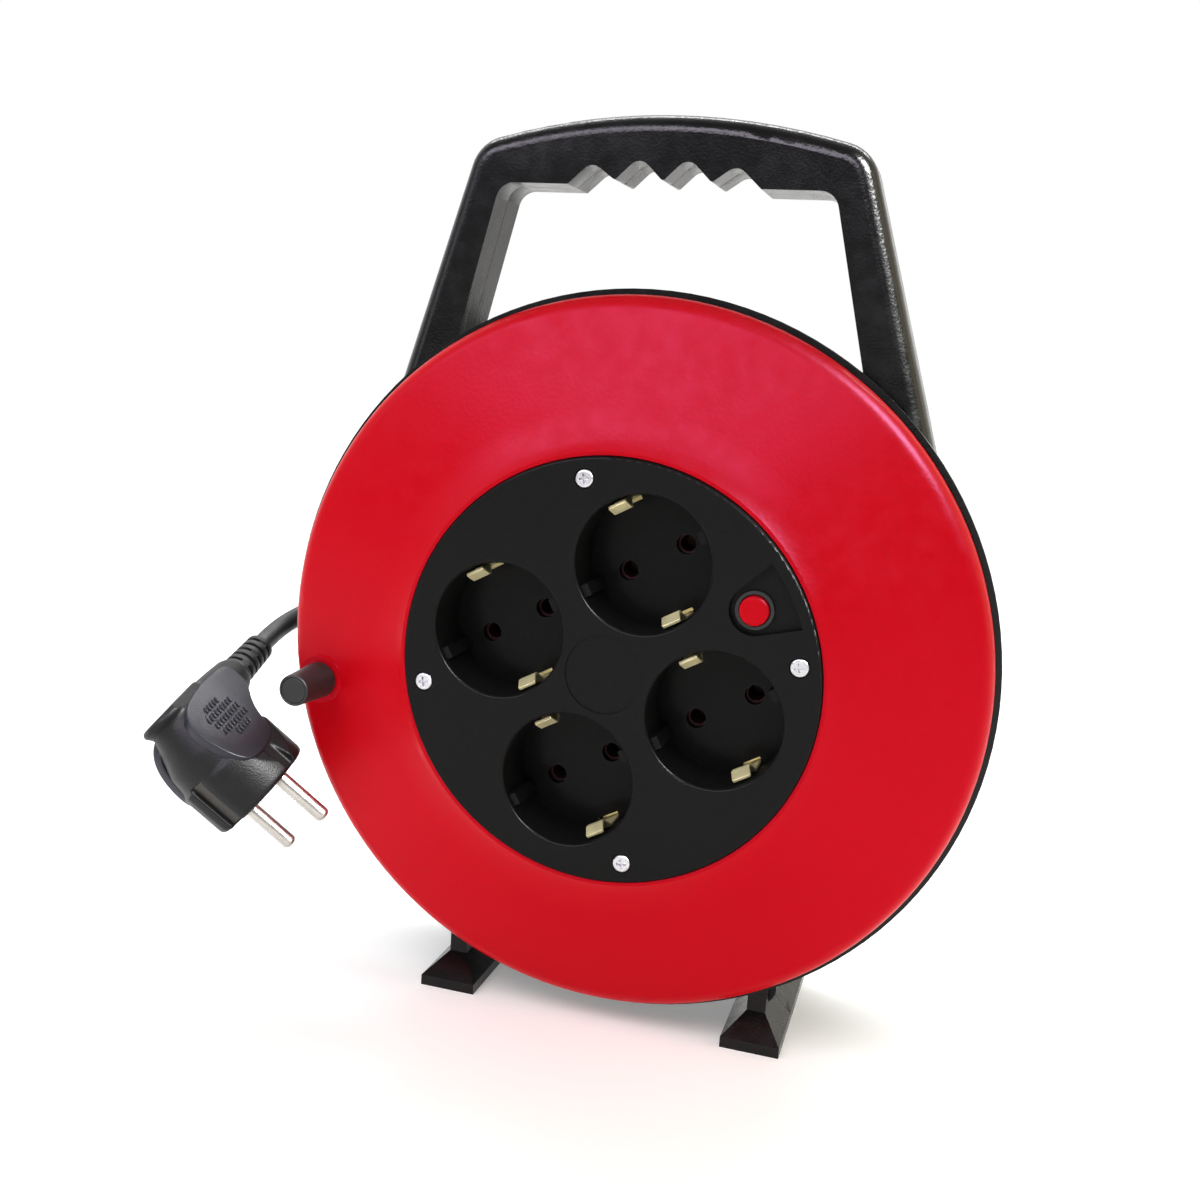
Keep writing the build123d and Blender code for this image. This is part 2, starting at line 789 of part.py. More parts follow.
with BuildPart() as thermal_breaker:
    with BuildSketch(facing_at(button_circle, socket_angle, breaker_seat)):
        RectangleRounded(breaker_size, breaker_size, breaker_corner)
    extrude(amount=-breaker_length)
    with BuildSketch(facing_at(button_circle, socket_angle, neck_front)):
        Circle(neck_radius)
    extrude(amount=-(breaker_seat - neck_front))
    with BuildSketch(facing_at(button_circle, socket_angle, neck_front)):
        Circle(neck_radius - neck_wall)
    extrude(amount=-(spring_seat - neck_front), mode=Mode.SUBTRACT)
    with BuildSketch(facing_at(button_circle, socket_angle, spring_seat)):
        Circle(plunger_radius + plunger_gap)
    extrude(amount=-(plunger_past_seat + button_travel + plunger_end_gap), mode=Mode.SUBTRACT)
    with BuildSketch(facing_at(button_circle, socket_angle, breaker_seat + breaker_length)):
        with Locations((breaker_tab_offset, 0), (-breaker_tab_offset, 0)):
            Rectangle(tab_thickness, tab_width)
    extrude(amount=-breaker_tab_length)
save(thermal_breaker, "thermal_breaker")

with BuildPart() as reset_button:
    with BuildSketch(facing_at(button_circle, socket_angle, button_front)):
        Circle(button_radius)
    extrude(amount=-(button_skirt - button_front))
    with BuildSketch(facing_at(button_circle, socket_angle, button_skirt)):
        Circle(spring_radius + spring_pocket_wall)
    extrude(amount=spring_pocket + spring_wire + spring_pocket_gap, mode=Mode.SUBTRACT)
    with BuildSketch(facing_at(button_circle, socket_angle, button_front + plunger_root)):
        Circle(plunger_radius)
    extrude(amount=-(spring_seat + plunger_past_seat - button_front - plunger_root))
    fillet(reset_button.edges().group_by(Axis.Y)[0], button_dome)
save(reset_button, "reset_button")

with BuildPart() as button_spring:
    spring_origin = facing_at(button_circle, socket_angle, spring_seat - spring_wire)
    spring_height = spring_seat - spring_front - 2 * spring_wire
    with BuildLine():
        coil = Helix(
            pitch=spring_height / spring_turns,
            height=spring_height,
            radius=spring_radius,
            center=spring_origin.origin,
            direction=(0, -1, 0),
        )
    with BuildSketch(Plane(origin=coil @ 0, z_dir=coil % 0)):
        Circle(spring_wire)
    sweep(path=coil)
save(button_spring, "button_spring")

# ---------------------------------------------------------------- drum: bearing bush

bush_bore = spindle_radius + shaft_clearance

with BuildPart() as bearing_bush:
    turn_profile([
        (bush_bore, hub_front - bush_proud),
        (hub_radius - press_clearance, hub_front - bush_proud),
        (hub_radius - press_clearance, web_back),
        (bush_flange_radius, web_back),
        (bush_flange_radius, web_back + bush_flange_thickness),
        (bush_bore, web_back + bush_flange_thickness),
    ])
save(bearing_bush, "bearing_bush")

# ---------------------------------------------------------------- drum: wound cable

winding_inner = core_radius + winding_gap
winding_front = disc_face_at(flange_radius) + disc_wall + winding_front_gap
winding_width = flange_front - winding_gap - winding_front
winding_outer = math.sqrt(winding_inner**2 + cable_length * cable_diameter**2 / (math.pi * winding_width))

with BuildPart() as cable_winding:
    turn_profile([
        (winding_inner, winding_front),
        (winding_outer, winding_front),
        (winding_outer, winding_front + winding_width),
        (winding_inner, winding_front + winding_width),
    ])
save(cable_winding, "cable_winding")

with BuildPart() as inner_lead:
    with BuildSketch(lead_axis_plane):
        Circle(lead_radius)
    extrude(amount=clamped_length + inner_lead_extra)
save(inner_lead, "inner_lead")

clamp_front = lead_depth - clamp_height

with BuildPart() as cord_clamp:
    with BuildSketch(facing_at(clamp_circle, lead_angle, clamp_front)):
        RectangleRounded(clamp_length, clamp_width, clamp_corner)
    extrude(amount=-(clamp_height - clamp_split_gap))
    with BuildSketch(lead_axis_plane):
        Circle(lead_radius)
    extrude(amount=clamped_length, mode=Mode.SUBTRACT)
    with BuildSketch(facing_at(clamp_circle, lead_angle, clamp_front)):
        with Locations((0, clamp_screw_offset), (0, -clamp_screw_offset)):
            Circle(screw_radius + clamp_hole_gap)
    extrude(amount=-clamp_height, mode=Mode.SUBTRACT)
save(cord_clamp, "cord_clamp")

with BuildPart() as clamp_screws:
    with BuildSketch(facing_at(clamp_circle, lead_angle, clamp_front)):
        with Locations((0, clamp_screw_offset), (0, -clamp_screw_offset)):
            Circle(screw_head_radius)
    extrude(amount=screw_head_height)
    with BuildSketch(facing_at(clamp_circle, lead_angle, clamp_front)):
        with Locations((0, clamp_screw_offset), (0, -clamp_screw_offset)):
            Circle(screw_radius - press_clearance)
    extrude(amount=-(clamp_height + clamp_screw_depth - screw_end_gap))
save(clamp_screws, "clamp_screws")

# ---------------------------------------------------------------- drum: wires

lead_inward = Vector(-lead_x, 0, -lead_z)
lead_across = lead_inward.cross(Vector(0, 1, 0))
lead_end = lead_axis_plane.origin + lead_inward * (clamped_length + inner_lead_extra)


def wire(name, start, middle, end):
    """Insulated wire from the lead's end, through points, to the back of a terminal."""
    points = [start, start + lead_inward * wire_straight, *middle, end + Vector(0, wire_straight, 0), end]
    bends = [min(wire_bend, r) for r in route_radii(points)]
    with BuildPart() as strand:
        with BuildLine() as path:
            FilletPolyline(*points, radius=bends)
        with BuildSketch(Plane(origin=start, z_dir=lead_inward)):
            Circle(wire_radius)
        sweep(path=path.wire())
    save(strand, name)


wire_depth = tab_back + wire_straight + wire_radius
wire(
    "neutral_wire",
    lead_end + lead_across * -wire_spread + Vector(0, 0.6 * wire_spread, 0),
    [grid_point(-1.25 * socket_offset, 0.2 * socket_offset, wire_depth),
     grid_point(-0.8 * socket_offset, -0.9 * socket_offset, wire_depth)],
    grid_point(*neutral_tab, tab_back),
)
wire(
    "earth_wire",
    lead_end + Vector(0, -wire_spread, 0),
    [],
    grid_point(*earth_tab, tab_back),
)
wire(
    "live_wire",
    lead_end + lead_across * wire_spread + Vector(0, 0.6 * wire_spread, 0),
    [grid_point(0.1 * socket_offset, 0.85 * socket_offset, wire_depth),
     grid_point(button_circle - 0.6 * socket_offset, 0.25 * socket_offset, wire_depth)],
    grid_point(button_circle - breaker_tab_offset, 0, breaker_tab_back),
)

# ---------------------------------------------------------------- crank knob

knob_tip = -knob_proud
knob_back = knob_boss_front - knob_gap
knob_pin_head_front = knob_tip + knob_cap_thickness + knob_head_behind_cap
knob_bore = knob_pin_radius + shaft_clearance


def knob_plane(depth):
    """Plane across the knob's own axis."""
    return facing_at(knob_circle, knob_angle, depth)


with BuildPart() as crank_knob:
    with BuildSketch(knob_plane(knob_back)):
        Circle(knob_base_radius)
    with BuildSketch(knob_plane(knob_tip)):
        Circle(knob_tip_radius)
    loft()
    fillet(crank_knob.edges().group_by(Axis.Y)[0], knob_tip_edge)
    with BuildSketch(knob_plane(knob_tip)):
        Circle(knob_tip_radius - knob_cap_rim)
    extrude(amount=-knob_cap_thickness, mode=Mode.SUBTRACT)
    with BuildSketch(knob_plane(knob_tip)):
        Circle(knob_pin_head_radius + knob_head_gap)
    head_room = knob_pin_head_front - knob_tip + knob_pin_head_height + knob_head_gap
    extrude(amount=-head_room, mode=Mode.SUBTRACT)
    with BuildSketch(knob_plane(knob_tip)):
        Circle(knob_bore)
    extrude(amount=-(knob_back - knob_tip), mode=Mode.SUBTRACT)
save(crank_knob, "crank_knob")

with BuildPart() as knob_cap:
    with BuildSketch(knob_plane(knob_tip + knob_cap_sink)):
        Circle(knob_tip_radius - knob_cap_rim - press_clearance)
    extrude(amount=-(knob_cap_thickness - knob_cap_sink))
    fillet(knob_cap.edges().group_by(Axis.Y)[0], knob_cap_edge)
save(knob_cap, "knob_cap")

with BuildPart() as knob_pin:
    with BuildSketch(knob_plane(knob_pin_head_front)):
        Circle(knob_pin_head_radius)
    extrude(amount=-knob_pin_head_height)
    with BuildSketch(knob_plane(knob_pin_head_front)):
        Circle(knob_pin_radius)
    extrude(amount=-(knob_pin_back - knob_pin_head_front))
save(knob_pin, "knob_pin")

# ---------------------------------------------------------------- housing, handle and feet

wall_front = lip_radius - housing_step
wall_back = wall_front - housing_taper
arm_screw_height = grip_under - arm_screw_drop
root_screw_height = lip_radius - root_screw_drop
leg_screw_x = (foot_inner + foot_outer) / 2
leg_boss_height = math.sqrt((wall_front + leg_boss_stand) ** 2 - leg_screw_x**2)


def arm_half_width(height, at_grip, lean):
    """Half width of the handle at a height above the drum axis."""
    return at_grip + lean * (grip_under - height)


def arm_middle(height):
    """Middle of an arm at a height above the drum axis."""
    outer = arm_half_width(height, arm_outer, arm_outer_lean)
    inner = arm_half_width(height, arm_inner, arm_inner_lean)
    return (outer + inner) / 2


housing_screw_places = [
    (side * arm_middle(arm_screw_height), arm_screw_height) for side in (1, -1)
] + [
    (side * arm_middle(root_screw_height), root_screw_height) for side in (1, -1)
] + [
    (side * leg_screw_x, -leg_boss_height) for side in (1, -1)
]

arm_foot = lip_radius * handle_root
corner_height = grip_top - crown_drop
notch_start = notch_count * notch_pitch / 2
notch_line = [(-notch_start, grip_under)]
for i in range(notch_count):
    at_end = i in (0, notch_count - 1)
    top = grip_under + (notch_end_height if at_end else notch_height)
    notch_line.append((-notch_start + (i + 0.5) * notch_pitch, top))
    notch_line.append((-notch_start + (i + 1) * notch_pitch, grip_under + tooth_height))
notch_line[-1] = (notch_start, grip_under)

with BuildPart() as handle_blank:
    with BuildSketch(facing(handle_depth)) as handle_outline:
        with BuildLine():
            outer_foot = arm_half_width(arm_foot, arm_outer, arm_outer_lean)
            inner_foot = arm_half_width(arm_foot, arm_inner, arm_inner_lean)
            outer_corner = arm_half_width(corner_height, arm_outer, arm_outer_lean)
            Polyline((inner_foot, arm_foot), (outer_foot, arm_foot), (outer_corner, corner_height))
            ThreePointArc((outer_corner, corner_height), (0, grip_top), (-outer_corner, corner_height))
            Polyline((-outer_corner, corner_height), (-outer_foot, arm_foot), (-inner_foot, arm_foot),
                     (-arm_inner, grip_under), (-notch_start, grip_under))
            Polyline(*notch_line)
            Polyline((notch_start, grip_under), (arm_inner, grip_under), (inner_foot, arm_foot))
        make_face()
        tops = handle_outline.vertices()
        fillet([v for v in tops if abs(v.X) < notch_start and v.Y > grip_under + notch_end_height - 0.1
                and v.Y < grip_under + notch_height + 0.1], notch_round)
        teeth = handle_outline.vertices()
        fillet([v for v in teeth if abs(v.Y - grip_under - tooth_height) < 0.01], tooth_round)
        corners = handle_outline.vertices()
        fillet([v for v in corners if abs(v.Y - corner_height) < 0.01], handle_corner)
        corners = handle_outline.vertices()
        fillet([v for v in corners
                if abs(v.Y - grip_under) < 0.01 and abs(abs(v.X) - arm_inner) < 0.01], handle_inner_corner)
    extrude(amount=-handle_thickness)
    across = handle_blank.edges().group_by(Axis.Y)
    outer_rims = []
    for e in list(across[0]) + list(across[-1]):
        middle = e @ 0.5
        height = middle.Z - axis_height
        above_grip = height > grip_under + notch_height + tooth_height
        outside_arm = abs(middle.X) > arm_middle(height) and height > arm_foot + tooth_height
        if above_grip or outside_arm:
            outer_rims.append(e)
    fillet(outer_rims, handle_round)

with BuildPart() as ring_blank:
    with BuildSketch(radial_plane):
        with BuildLine():
            Polyline(
                (lip_opening_radius, lip_front),
                (lip_radius, lip_front),
                (lip_radius, lip_back),
                (wall_front, lip_back),
                (wall_back, housing_back - back_round),
            )
            ThreePointArc(
                (wall_back, housing_back - back_round),
                (wall_back - arc_middle * back_round, housing_back - arc_middle * back_round),
                (wall_back - back_round, housing_back),
            )
            Polyline(
                (wall_back - back_round, housing_back),
                (0, housing_back),
                (0, housing_back - back_wall),
                (wall_back - back_round, housing_back - back_wall),
                (wall_back - housing_wall, housing_back - back_round),
                (wall_front - housing_wall, lip_back),
                (lip_opening_radius, lip_back),
                (lip_opening_radius, lip_front),
            )
        make_face()
    revolve(axis=axis_line)

leg_left = (foot_inner + foot_outer - leg_width) / 2
leg_front = foot_front_depth + foot_slope_front
leg_back = foot_back_depth - leg_back_gap


def floor_plane(height):
    """Level plane at a height above the floor, under the drum's axis."""
    return Plane(origin=(0, 0, height), x_dir=(1, 0, 0), z_dir=(0, 0, 1))


def level_rectangle(height, x_low, x_high, depth_low, depth_high):
    """Rectangle on a level plane, given by its sides and depths."""
    with BuildSketch(floor_plane(height)) as shape:
        with Locations(((x_low + x_high) / 2, panel_y + (depth_low + depth_high) / 2)):
            Rectangle(x_high - x_low, depth_high - depth_low)
    return shape


with BuildPart() as leg_blank:
    for side in (1, -1):
        low, high = sorted((side * foot_inner, side * foot_outer))
        near, far = sorted((side * leg_left, side * (leg_left + leg_width)))
        base = level_rectangle(0, low, high, foot_front_depth, foot_back_depth)
        extrude(base.sketch, amount=foot_edge)
        wide = level_rectangle(foot_edge, low, high, foot_front_depth, foot_back_depth)
        narrow = level_rectangle(
            foot_edge + foot_slope_height, near, far, leg_front, foot_back_depth - foot_slope_back)
        loft([wide.sketch, narrow.sketch])
        web = level_rectangle(foot_edge + foot_slope_height, near, far, leg_front, leg_back)
        extrude(web.sketch, amount=floor_gap + lip_radius * leg_root)
        with BuildSketch(facing(handle_depth)):
            with Locations((side * leg_screw_x, -leg_boss_height)):
                Circle(leg_boss_radius)
        extrude(amount=-(leg_back - handle_depth))

with BuildPart() as cavity:
    with BuildSketch(facing(lip_back)):
        Circle(wall_front - housing_wall)
    with BuildSketch(facing(housing_back - back_round)):
        Circle(wall_back - housing_wall)
    loft()

# The cord's route: straight out of the plug's cable end, then a bend to the housing
pin_way = Vector(*plug_pin_way).normalized()
cable_way = Vector(*plug_cable_way)
cable_way = (cable_way - pin_way * cable_way.dot(pin_way)).normalized()
plug_origin = point(-lip_radius - plug_gap, plug_depth, -plug_drop)
arm_end = plug_origin - pin_way * plug_arm_back + cable_way * plug_arm_reach
relief_end = arm_end + cable_way * relief_length
end_way = Vector(*outlet_way).normalized()
bend = math.radians(cable_way.get_angle(end_way))


def way_between(share):
    """Direction part of the way round from the plug's cable end to the outlet."""
    start = cable_way * (math.sin((1 - share) * bend) / math.sin(bend))
    return start + end_way * (math.sin(share * bend) / math.sin(bend))


cord_route = [relief_end, relief_end + cable_way * cord_start_run]
for i in range(1, cord_turns):
    cord_route.append(cord_route[-1] + way_between(i / cord_turns) * cord_run)
cord_route.append(cord_route[-1] + end_way * cord_end_run)
cord_end = cord_route[-1]

pilot_front = handle_depth + housing_screw_front
head_seat = handle_depth + handle_thickness - housing_screw_seat

with BuildPart() as housing_blank:
    add(ring_blank.part)
    add(handle_blank.part)
    add(leg_blank.part)
    add(cavity.part, mode=Mode.SUBTRACT)
    for x, height in housing_screw_places:
        with BuildSketch(facing(pilot_front)):
            with Locations((x, height)):
                Circle(housing_screw_radius)
        extrude(amount=-(split_depth - pilot_front), mode=Mode.SUBTRACT)
        with BuildSketch(facing(split_depth)):
            with Locations((x, height)):
                Circle(housing_screw_radius + housing_screw_gap)
        extrude(amount=-(housing_back - split_depth), mode=Mode.SUBTRACT)
        with BuildSketch(facing(head_seat)):
            with Locations((x, height)):
                Circle(housing_screw_head + screw_hole_gap)
        extrude(amount=-(housing_back - head_seat), mode=Mode.SUBTRACT)

outlet_plane = Plane(origin=cord_end, z_dir=-end_way)
outlet_radius = cable_diameter / 2 + outlet_bore_gap + outlet_wall
outlet_depth = cord_end.Y - panel_y
wall_share = (outlet_depth - lip_back) / (housing_back - back_round - lip_back)
wall_at_outlet = wall_front - wall_share * (wall_front - wall_back)
outlet_height = cord_end.Z - axis_height
outlet_stand = wall_at_outlet - math.hypot(cord_end.X, outlet_height) + outlet_collar_height

with BuildPart() as front_housing:
    add(housing_blank.part)
    split(bisect_by=facing(split_depth - seam_gap / 2), keep=Keep.TOP)
save(front_housing, "front_housing")

boss_front = web_back + bush_flange_thickness + thrust_gap

with BuildPart() as rear_housing:
    add(housing_blank.part)
    split(bisect_by=facing(split_depth + seam_gap / 2), keep=Keep.BOTTOM)
    with BuildSketch(facing(boss_front)):
        Circle(bush_flange_radius + hub_pad)
    extrude(amount=-(housing_back - boss_front))
    with BuildSketch(facing(boss_front)):
        Circle(spindle_radius + press_clearance)
    extrude(amount=-(housing_back - boss_front), mode=Mode.SUBTRACT)
    with BuildSketch(facing(housing_back)):
        Circle(back_ring_outer)
        Circle(back_ring_inner, mode=Mode.SUBTRACT)
    extrude(amount=back_ring_depth, mode=Mode.SUBTRACT)
    with BuildSketch(facing(housing_back)):
        Circle(spindle_head_radius + spindle_head_gap)
    extrude(amount=spindle_head_thickness + spindle_head_gap, mode=Mode.SUBTRACT)
    with BuildSketch(outlet_plane.offset(-outlet_depth_inside - housing_wall)):
        Circle(outlet_radius + press_clearance)
    extrude(amount=outlet_depth_inside + outlet_stand + 2 * housing_wall, mode=Mode.SUBTRACT)
save(rear_housing, "rear_housing")

with BuildPart() as housing_screws:
    for x, height in housing_screw_places:
        with BuildSketch(facing(head_seat)):
            with Locations((x, height)):
                Circle(housing_screw_head)
        extrude(amount=-housing_screw_head_height)
        with BuildSketch(facing(pilot_front + screw_end_gap)):
            with Locations((x, height)):
                Circle(housing_screw_radius - press_clearance)
        extrude(amount=-(head_seat - pilot_front - screw_end_gap))
        with BuildSketch(facing(head_seat + housing_screw_head_height)):
            with Locations((x, height)):
                Rectangle(housing_cross_length, housing_cross_width)
                Rectangle(housing_cross_width, housing_cross_length)
        extrude(amount=housing_cross_depth, mode=Mode.SUBTRACT)
save(housing_screws, "housing_screws")

# ---------------------------------------------------------------- spindle

spindle_front = hub_front - bush_proud - spindle_proud
spindle_back = housing_back - spindle_head_gap
washer_front = spindle_front - washer_thickness

with BuildPart() as spindle:
    with BuildSketch(facing(spindle_front)):
        Circle(spindle_radius)
    extrude(amount=-(spindle_back - spindle_front))
    with BuildSketch(facing(spindle_back - spindle_head_thickness)):
        Circle(spindle_head_radius)
    extrude(amount=-spindle_head_thickness)
    fillet(spindle.edges().group_by(Axis.Y)[-1], spindle_edge)
    with BuildSketch(facing(spindle_front)):
        Circle(retainer_radius)
    extrude(amount=-(retainer_length + pilot_extra), mode=Mode.SUBTRACT)
save(spindle, "spindle")

with BuildPart() as thrust_washer:
    with BuildSketch(facing(washer_front)):
        Circle(washer_radius)
        Circle(retainer_radius + washer_hole_gap, mode=Mode.SUBTRACT)
    extrude(amount=-washer_thickness)
save(thrust_washer, "thrust_washer")

with BuildPart() as retaining_screw:
    with BuildSketch(facing(washer_front - retainer_head_height)):
        RegularPolygon(retainer_head_radius, 6)
    extrude(amount=-retainer_head_height)
    with BuildSketch(facing(washer_front)):
        Circle(retainer_radius - press_clearance)
    extrude(amount=-(washer_thickness + retainer_length))
save(retaining_screw, "retaining_screw")

# ---------------------------------------------------------------- cable outlet and free cord

with BuildPart() as housing_core:
    with BuildSketch(radial_plane):
        with BuildLine():
            Polyline((0, housing_back), (0, lip_back), (wall_front, lip_back),
                     (wall_back, housing_back - back_round))
            ThreePointArc(
                (wall_back, housing_back - back_round),
                (wall_back - arc_middle * back_round, housing_back - arc_middle * back_round),
                (wall_back - back_round, housing_back),
            )
            Line((wall_back - back_round, housing_back), (0, housing_back))
        make_face()
    revolve(axis=axis_line)

with BuildPart() as cable_outlet:
    with BuildSketch(outlet_plane):
        Circle(outlet_radius + outlet_collar)
    extrude(amount=outlet_stand)
    fillet(cable_outlet.edges().group_by(Axis.X)[0], outlet_edge)
    add(housing_core.part, mode=Mode.SUBTRACT)
    with BuildSketch(outlet_plane.offset(-outlet_depth_inside)):
        Circle(outlet_radius)
    extrude(amount=outlet_depth_inside + outlet_stand)
    with BuildSketch(outlet_plane.offset(-outlet_depth_inside)):
        Circle(cable_diameter / 2 + outlet_bore_gap)
    extrude(amount=outlet_depth_inside + outlet_stand, mode=Mode.SUBTRACT)
save(cable_outlet, "cable_outlet")

radii = route_radii(cord_route)
print("cord radii", [round(r, 1) for r in radii])

with BuildPart() as supply_cord:
    with BuildLine() as cord_path:
        FilletPolyline(*cord_route, radius=radii)
    with BuildSketch(Plane(origin=cord_route[0], z_dir=cord_route[1] - cord_route[0])):
        Circle(cable_diameter / 2)
    sweep(path=cord_path.wire())
save(supply_cord, "supply_cord")
print("cord length", round(cord_path.wire().length, 2))
print("cord volume / section", round(supply_cord.part.volume / (math.pi * cable_diameter**2 / 4), 2))
for place in cord_route:
    print("route", [round(v, 2) for v in place])

# ---------------------------------------------------------------- plug

relief_rib_pitch = relief_length / relief_rib_count
relief_plane = Plane(origin=arm_end, x_dir=pin_way, z_dir=cable_way)

with BuildPart() as strain_relief:
    with BuildSketch(relief_plane):
        Circle(relief_neck_radius)
    extrude(amount=relief_length)
    for i in range(relief_rib_count):
        with BuildSketch(relief_plane.offset(i * relief_rib_pitch)):
            Circle(relief_radius - i * relief_rib_taper)
        extrude(amount=relief_rib_pitch * relief_rib_share)
save(strain_relief, "strain_relief")


def plug_plane(along):
    """Plane across the pins, x towards the cable end, at a distance in front of the face."""
    return Plane(origin=plug_origin + pin_way * along, x_dir=cable_way, z_dir=pin_way)


with BuildPart() as plug_body:
    with BuildSketch(plug_plane(-plug_puck_length)):
        Circle(plug_face_radius)
        Rectangle(2 * plug_flat, 4 * plug_face_radius, mode=Mode.INTERSECT)
    extrude(amount=plug_puck_length)
    with BuildSketch(plug_plane(-plug_puck_length)):
        Circle(plug_face_radius)
        Rectangle(2 * plug_flat, 4 * plug_face_radius, mode=Mode.INTERSECT)
    with BuildSketch(plug_plane(-plug_arm_back - plug_arm_radius)):
        with Locations((plug_tail_shift, 0)):
            RectangleRounded(*plug_tail_size, plug_tail_corner)
    loft()
    arm_start = plug_origin - pin_way * plug_arm_back
    with BuildSketch(Plane(origin=arm_start, x_dir=pin_way, z_dir=cable_way)):
        RectangleRounded(2 * plug_arm_radius, 2 * plug_arm_radius, plug_tail_corner)
    with BuildSketch(Plane(origin=arm_end, x_dir=pin_way, z_dir=cable_way)):
        Circle(relief_radius + plug_arm_end_wall)
    loft()
    for side in (1, -1):
        with BuildSketch(plug_plane(0)):
            with Locations((side * plug_flat, 0)):
                Rectangle(2 * contact_groove_depth, contact_groove_width)
        extrude(amount=-plug_puck_length - groove_past_puck, mode=Mode.SUBTRACT)
        with BuildSketch(plug_plane(0)):
            with Locations((0, side * plug_face_radius)):
                Rectangle(guide_groove_width, 2 * guide_groove_depth)
        extrude(amount=-plug_puck_length + guide_groove_short, mode=Mode.SUBTRACT)
        with BuildSketch(plug_plane(0)):
            with Locations((0, side * pin_pitch / 2)):
                Circle(plug_pin_radius)
        extrude(amount=-plug_pin_root, mode=Mode.SUBTRACT)
    with BuildSketch(plug_plane(0)):
        with Locations((-earth_hole_offset, 0)):
            Circle(earth_hole_radius)
    extrude(amount=-earth_hole_depth, mode=Mode.SUBTRACT)
save(plug_body, "plug_body")

with BuildPart() as plug_pins:
    for side in (1, -1):
        with BuildSketch(plug_plane(-plug_pin_root)):
            with Locations((0, side * pin_pitch / 2)):
                Circle(plug_pin_radius)
        extrude(amount=plug_pin_root + plug_pin_length)
    fillet(plug_pins.faces().sort_by(Axis(plug_origin, pin_way))[-2:].edges(), plug_pin_round)
save(plug_pins, "plug_pins")

with BuildPart() as plug_earth_contacts:
    for side in (1, -1):
        with BuildSketch(plug_plane(-plug_puck_length - groove_past_puck)):
            with Locations((side * (plug_flat - contact_groove_depth + contact_thickness / 2), 0)):
                Rectangle(contact_thickness, contact_groove_width - 2 * contact_side_gap)
        extrude(amount=plug_puck_length + groove_past_puck - contact_front_gap)
save(plug_earth_contacts, "plug_earth_contacts")
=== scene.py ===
"""Looks of a round cable reel: finishes, free cord, plug, wound cable, studio and camera."""

import json
import logging
import math
from dataclasses import dataclass, field
from enum import Enum
from typing import Iterable, Optional, Sequence

import bpy
from bpy.types import Material, Node, NodeSocket, NodeTree, Object
from mathutils import Matrix, Vector


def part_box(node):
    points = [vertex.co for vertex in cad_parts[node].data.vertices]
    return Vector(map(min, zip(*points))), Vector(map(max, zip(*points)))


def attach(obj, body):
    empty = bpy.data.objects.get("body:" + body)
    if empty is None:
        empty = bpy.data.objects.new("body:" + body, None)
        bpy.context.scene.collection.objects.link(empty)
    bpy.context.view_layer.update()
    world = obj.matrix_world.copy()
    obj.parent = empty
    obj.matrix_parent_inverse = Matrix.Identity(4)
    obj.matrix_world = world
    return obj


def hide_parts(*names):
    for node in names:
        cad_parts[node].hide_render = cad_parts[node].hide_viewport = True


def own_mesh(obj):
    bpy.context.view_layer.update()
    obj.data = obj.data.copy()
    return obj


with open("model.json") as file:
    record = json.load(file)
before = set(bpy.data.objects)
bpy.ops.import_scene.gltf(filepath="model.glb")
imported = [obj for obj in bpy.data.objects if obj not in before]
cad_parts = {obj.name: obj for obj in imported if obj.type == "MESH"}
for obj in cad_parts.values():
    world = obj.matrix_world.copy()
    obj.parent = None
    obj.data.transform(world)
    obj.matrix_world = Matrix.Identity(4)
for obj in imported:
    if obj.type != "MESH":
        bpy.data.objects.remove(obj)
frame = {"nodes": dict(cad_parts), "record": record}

log = logging.getLogger("cable_reel")
MM = 0.001
WELD = 0.001 * MM  # points nearer than this are one
COAT_ROUGHNESS = 0.22
Pair = tuple[float, float]
Triple = tuple[float, float, float]


class Body(Enum):
    """The bodies that new pieces ride on."""

    ROOT = "root"
    DRUM = "drum"


class Socket(Enum):
    """Names of the shader inputs that the finishes set."""

    COLOR = "Base Color"
    ROUGHNESS = "Roughness"
    METALLIC = "Metallic"
    NORMAL = "Normal"
    COAT = "Coat Weight"
    COAT_ROUGHNESS = "Coat Roughness"
    SPECULAR = "Specular IOR Level"
    SPECULAR_TINT = "Specular Tint"
    GLOW = "Emission Color"
    GLOW_STRENGTH = "Emission Strength"


# ---- shared helpers


def mm(*values: float) -> tuple[float, ...]:
    """Gives millimetres as metres."""
    return tuple(value * MM for value in values)


def set_inputs(shader: Node, values: dict[Socket, object]) -> None:
    """Sets plain values on a shader's own sockets."""
    for socket, value in values.items():
        shader.inputs[socket.value].default_value = value


def add_node(tree: NodeTree, kind: str, inputs: dict[object, object], **settings: object) -> Node:
    """Adds a node and fills its inputs.

    Args:
        tree: The tree that gets the node.
        kind: Blender's name of the node's type.
        inputs: A socket or a plain value for each input.
        settings: The node's own settings, made before its inputs are filled.

    Returns:
        The node.
    """
    node = tree.nodes.new(kind)
    for key, value in settings.items():
        setattr(node, key, value)
    for key, value in inputs.items():
        if isinstance(value, NodeSocket):
            tree.links.new(value, node.inputs[key])
        else:
            node.inputs[key].default_value = value
    return node


def math_node(tree: NodeTree, operation: str, first: object, second: object) -> object:
    """Adds a math node on two sockets or numbers and gives its output."""
    return add_node(tree, "ShaderNodeMath", {0: first, 1: second}, operation=operation).outputs[0]


# ---- shader groups


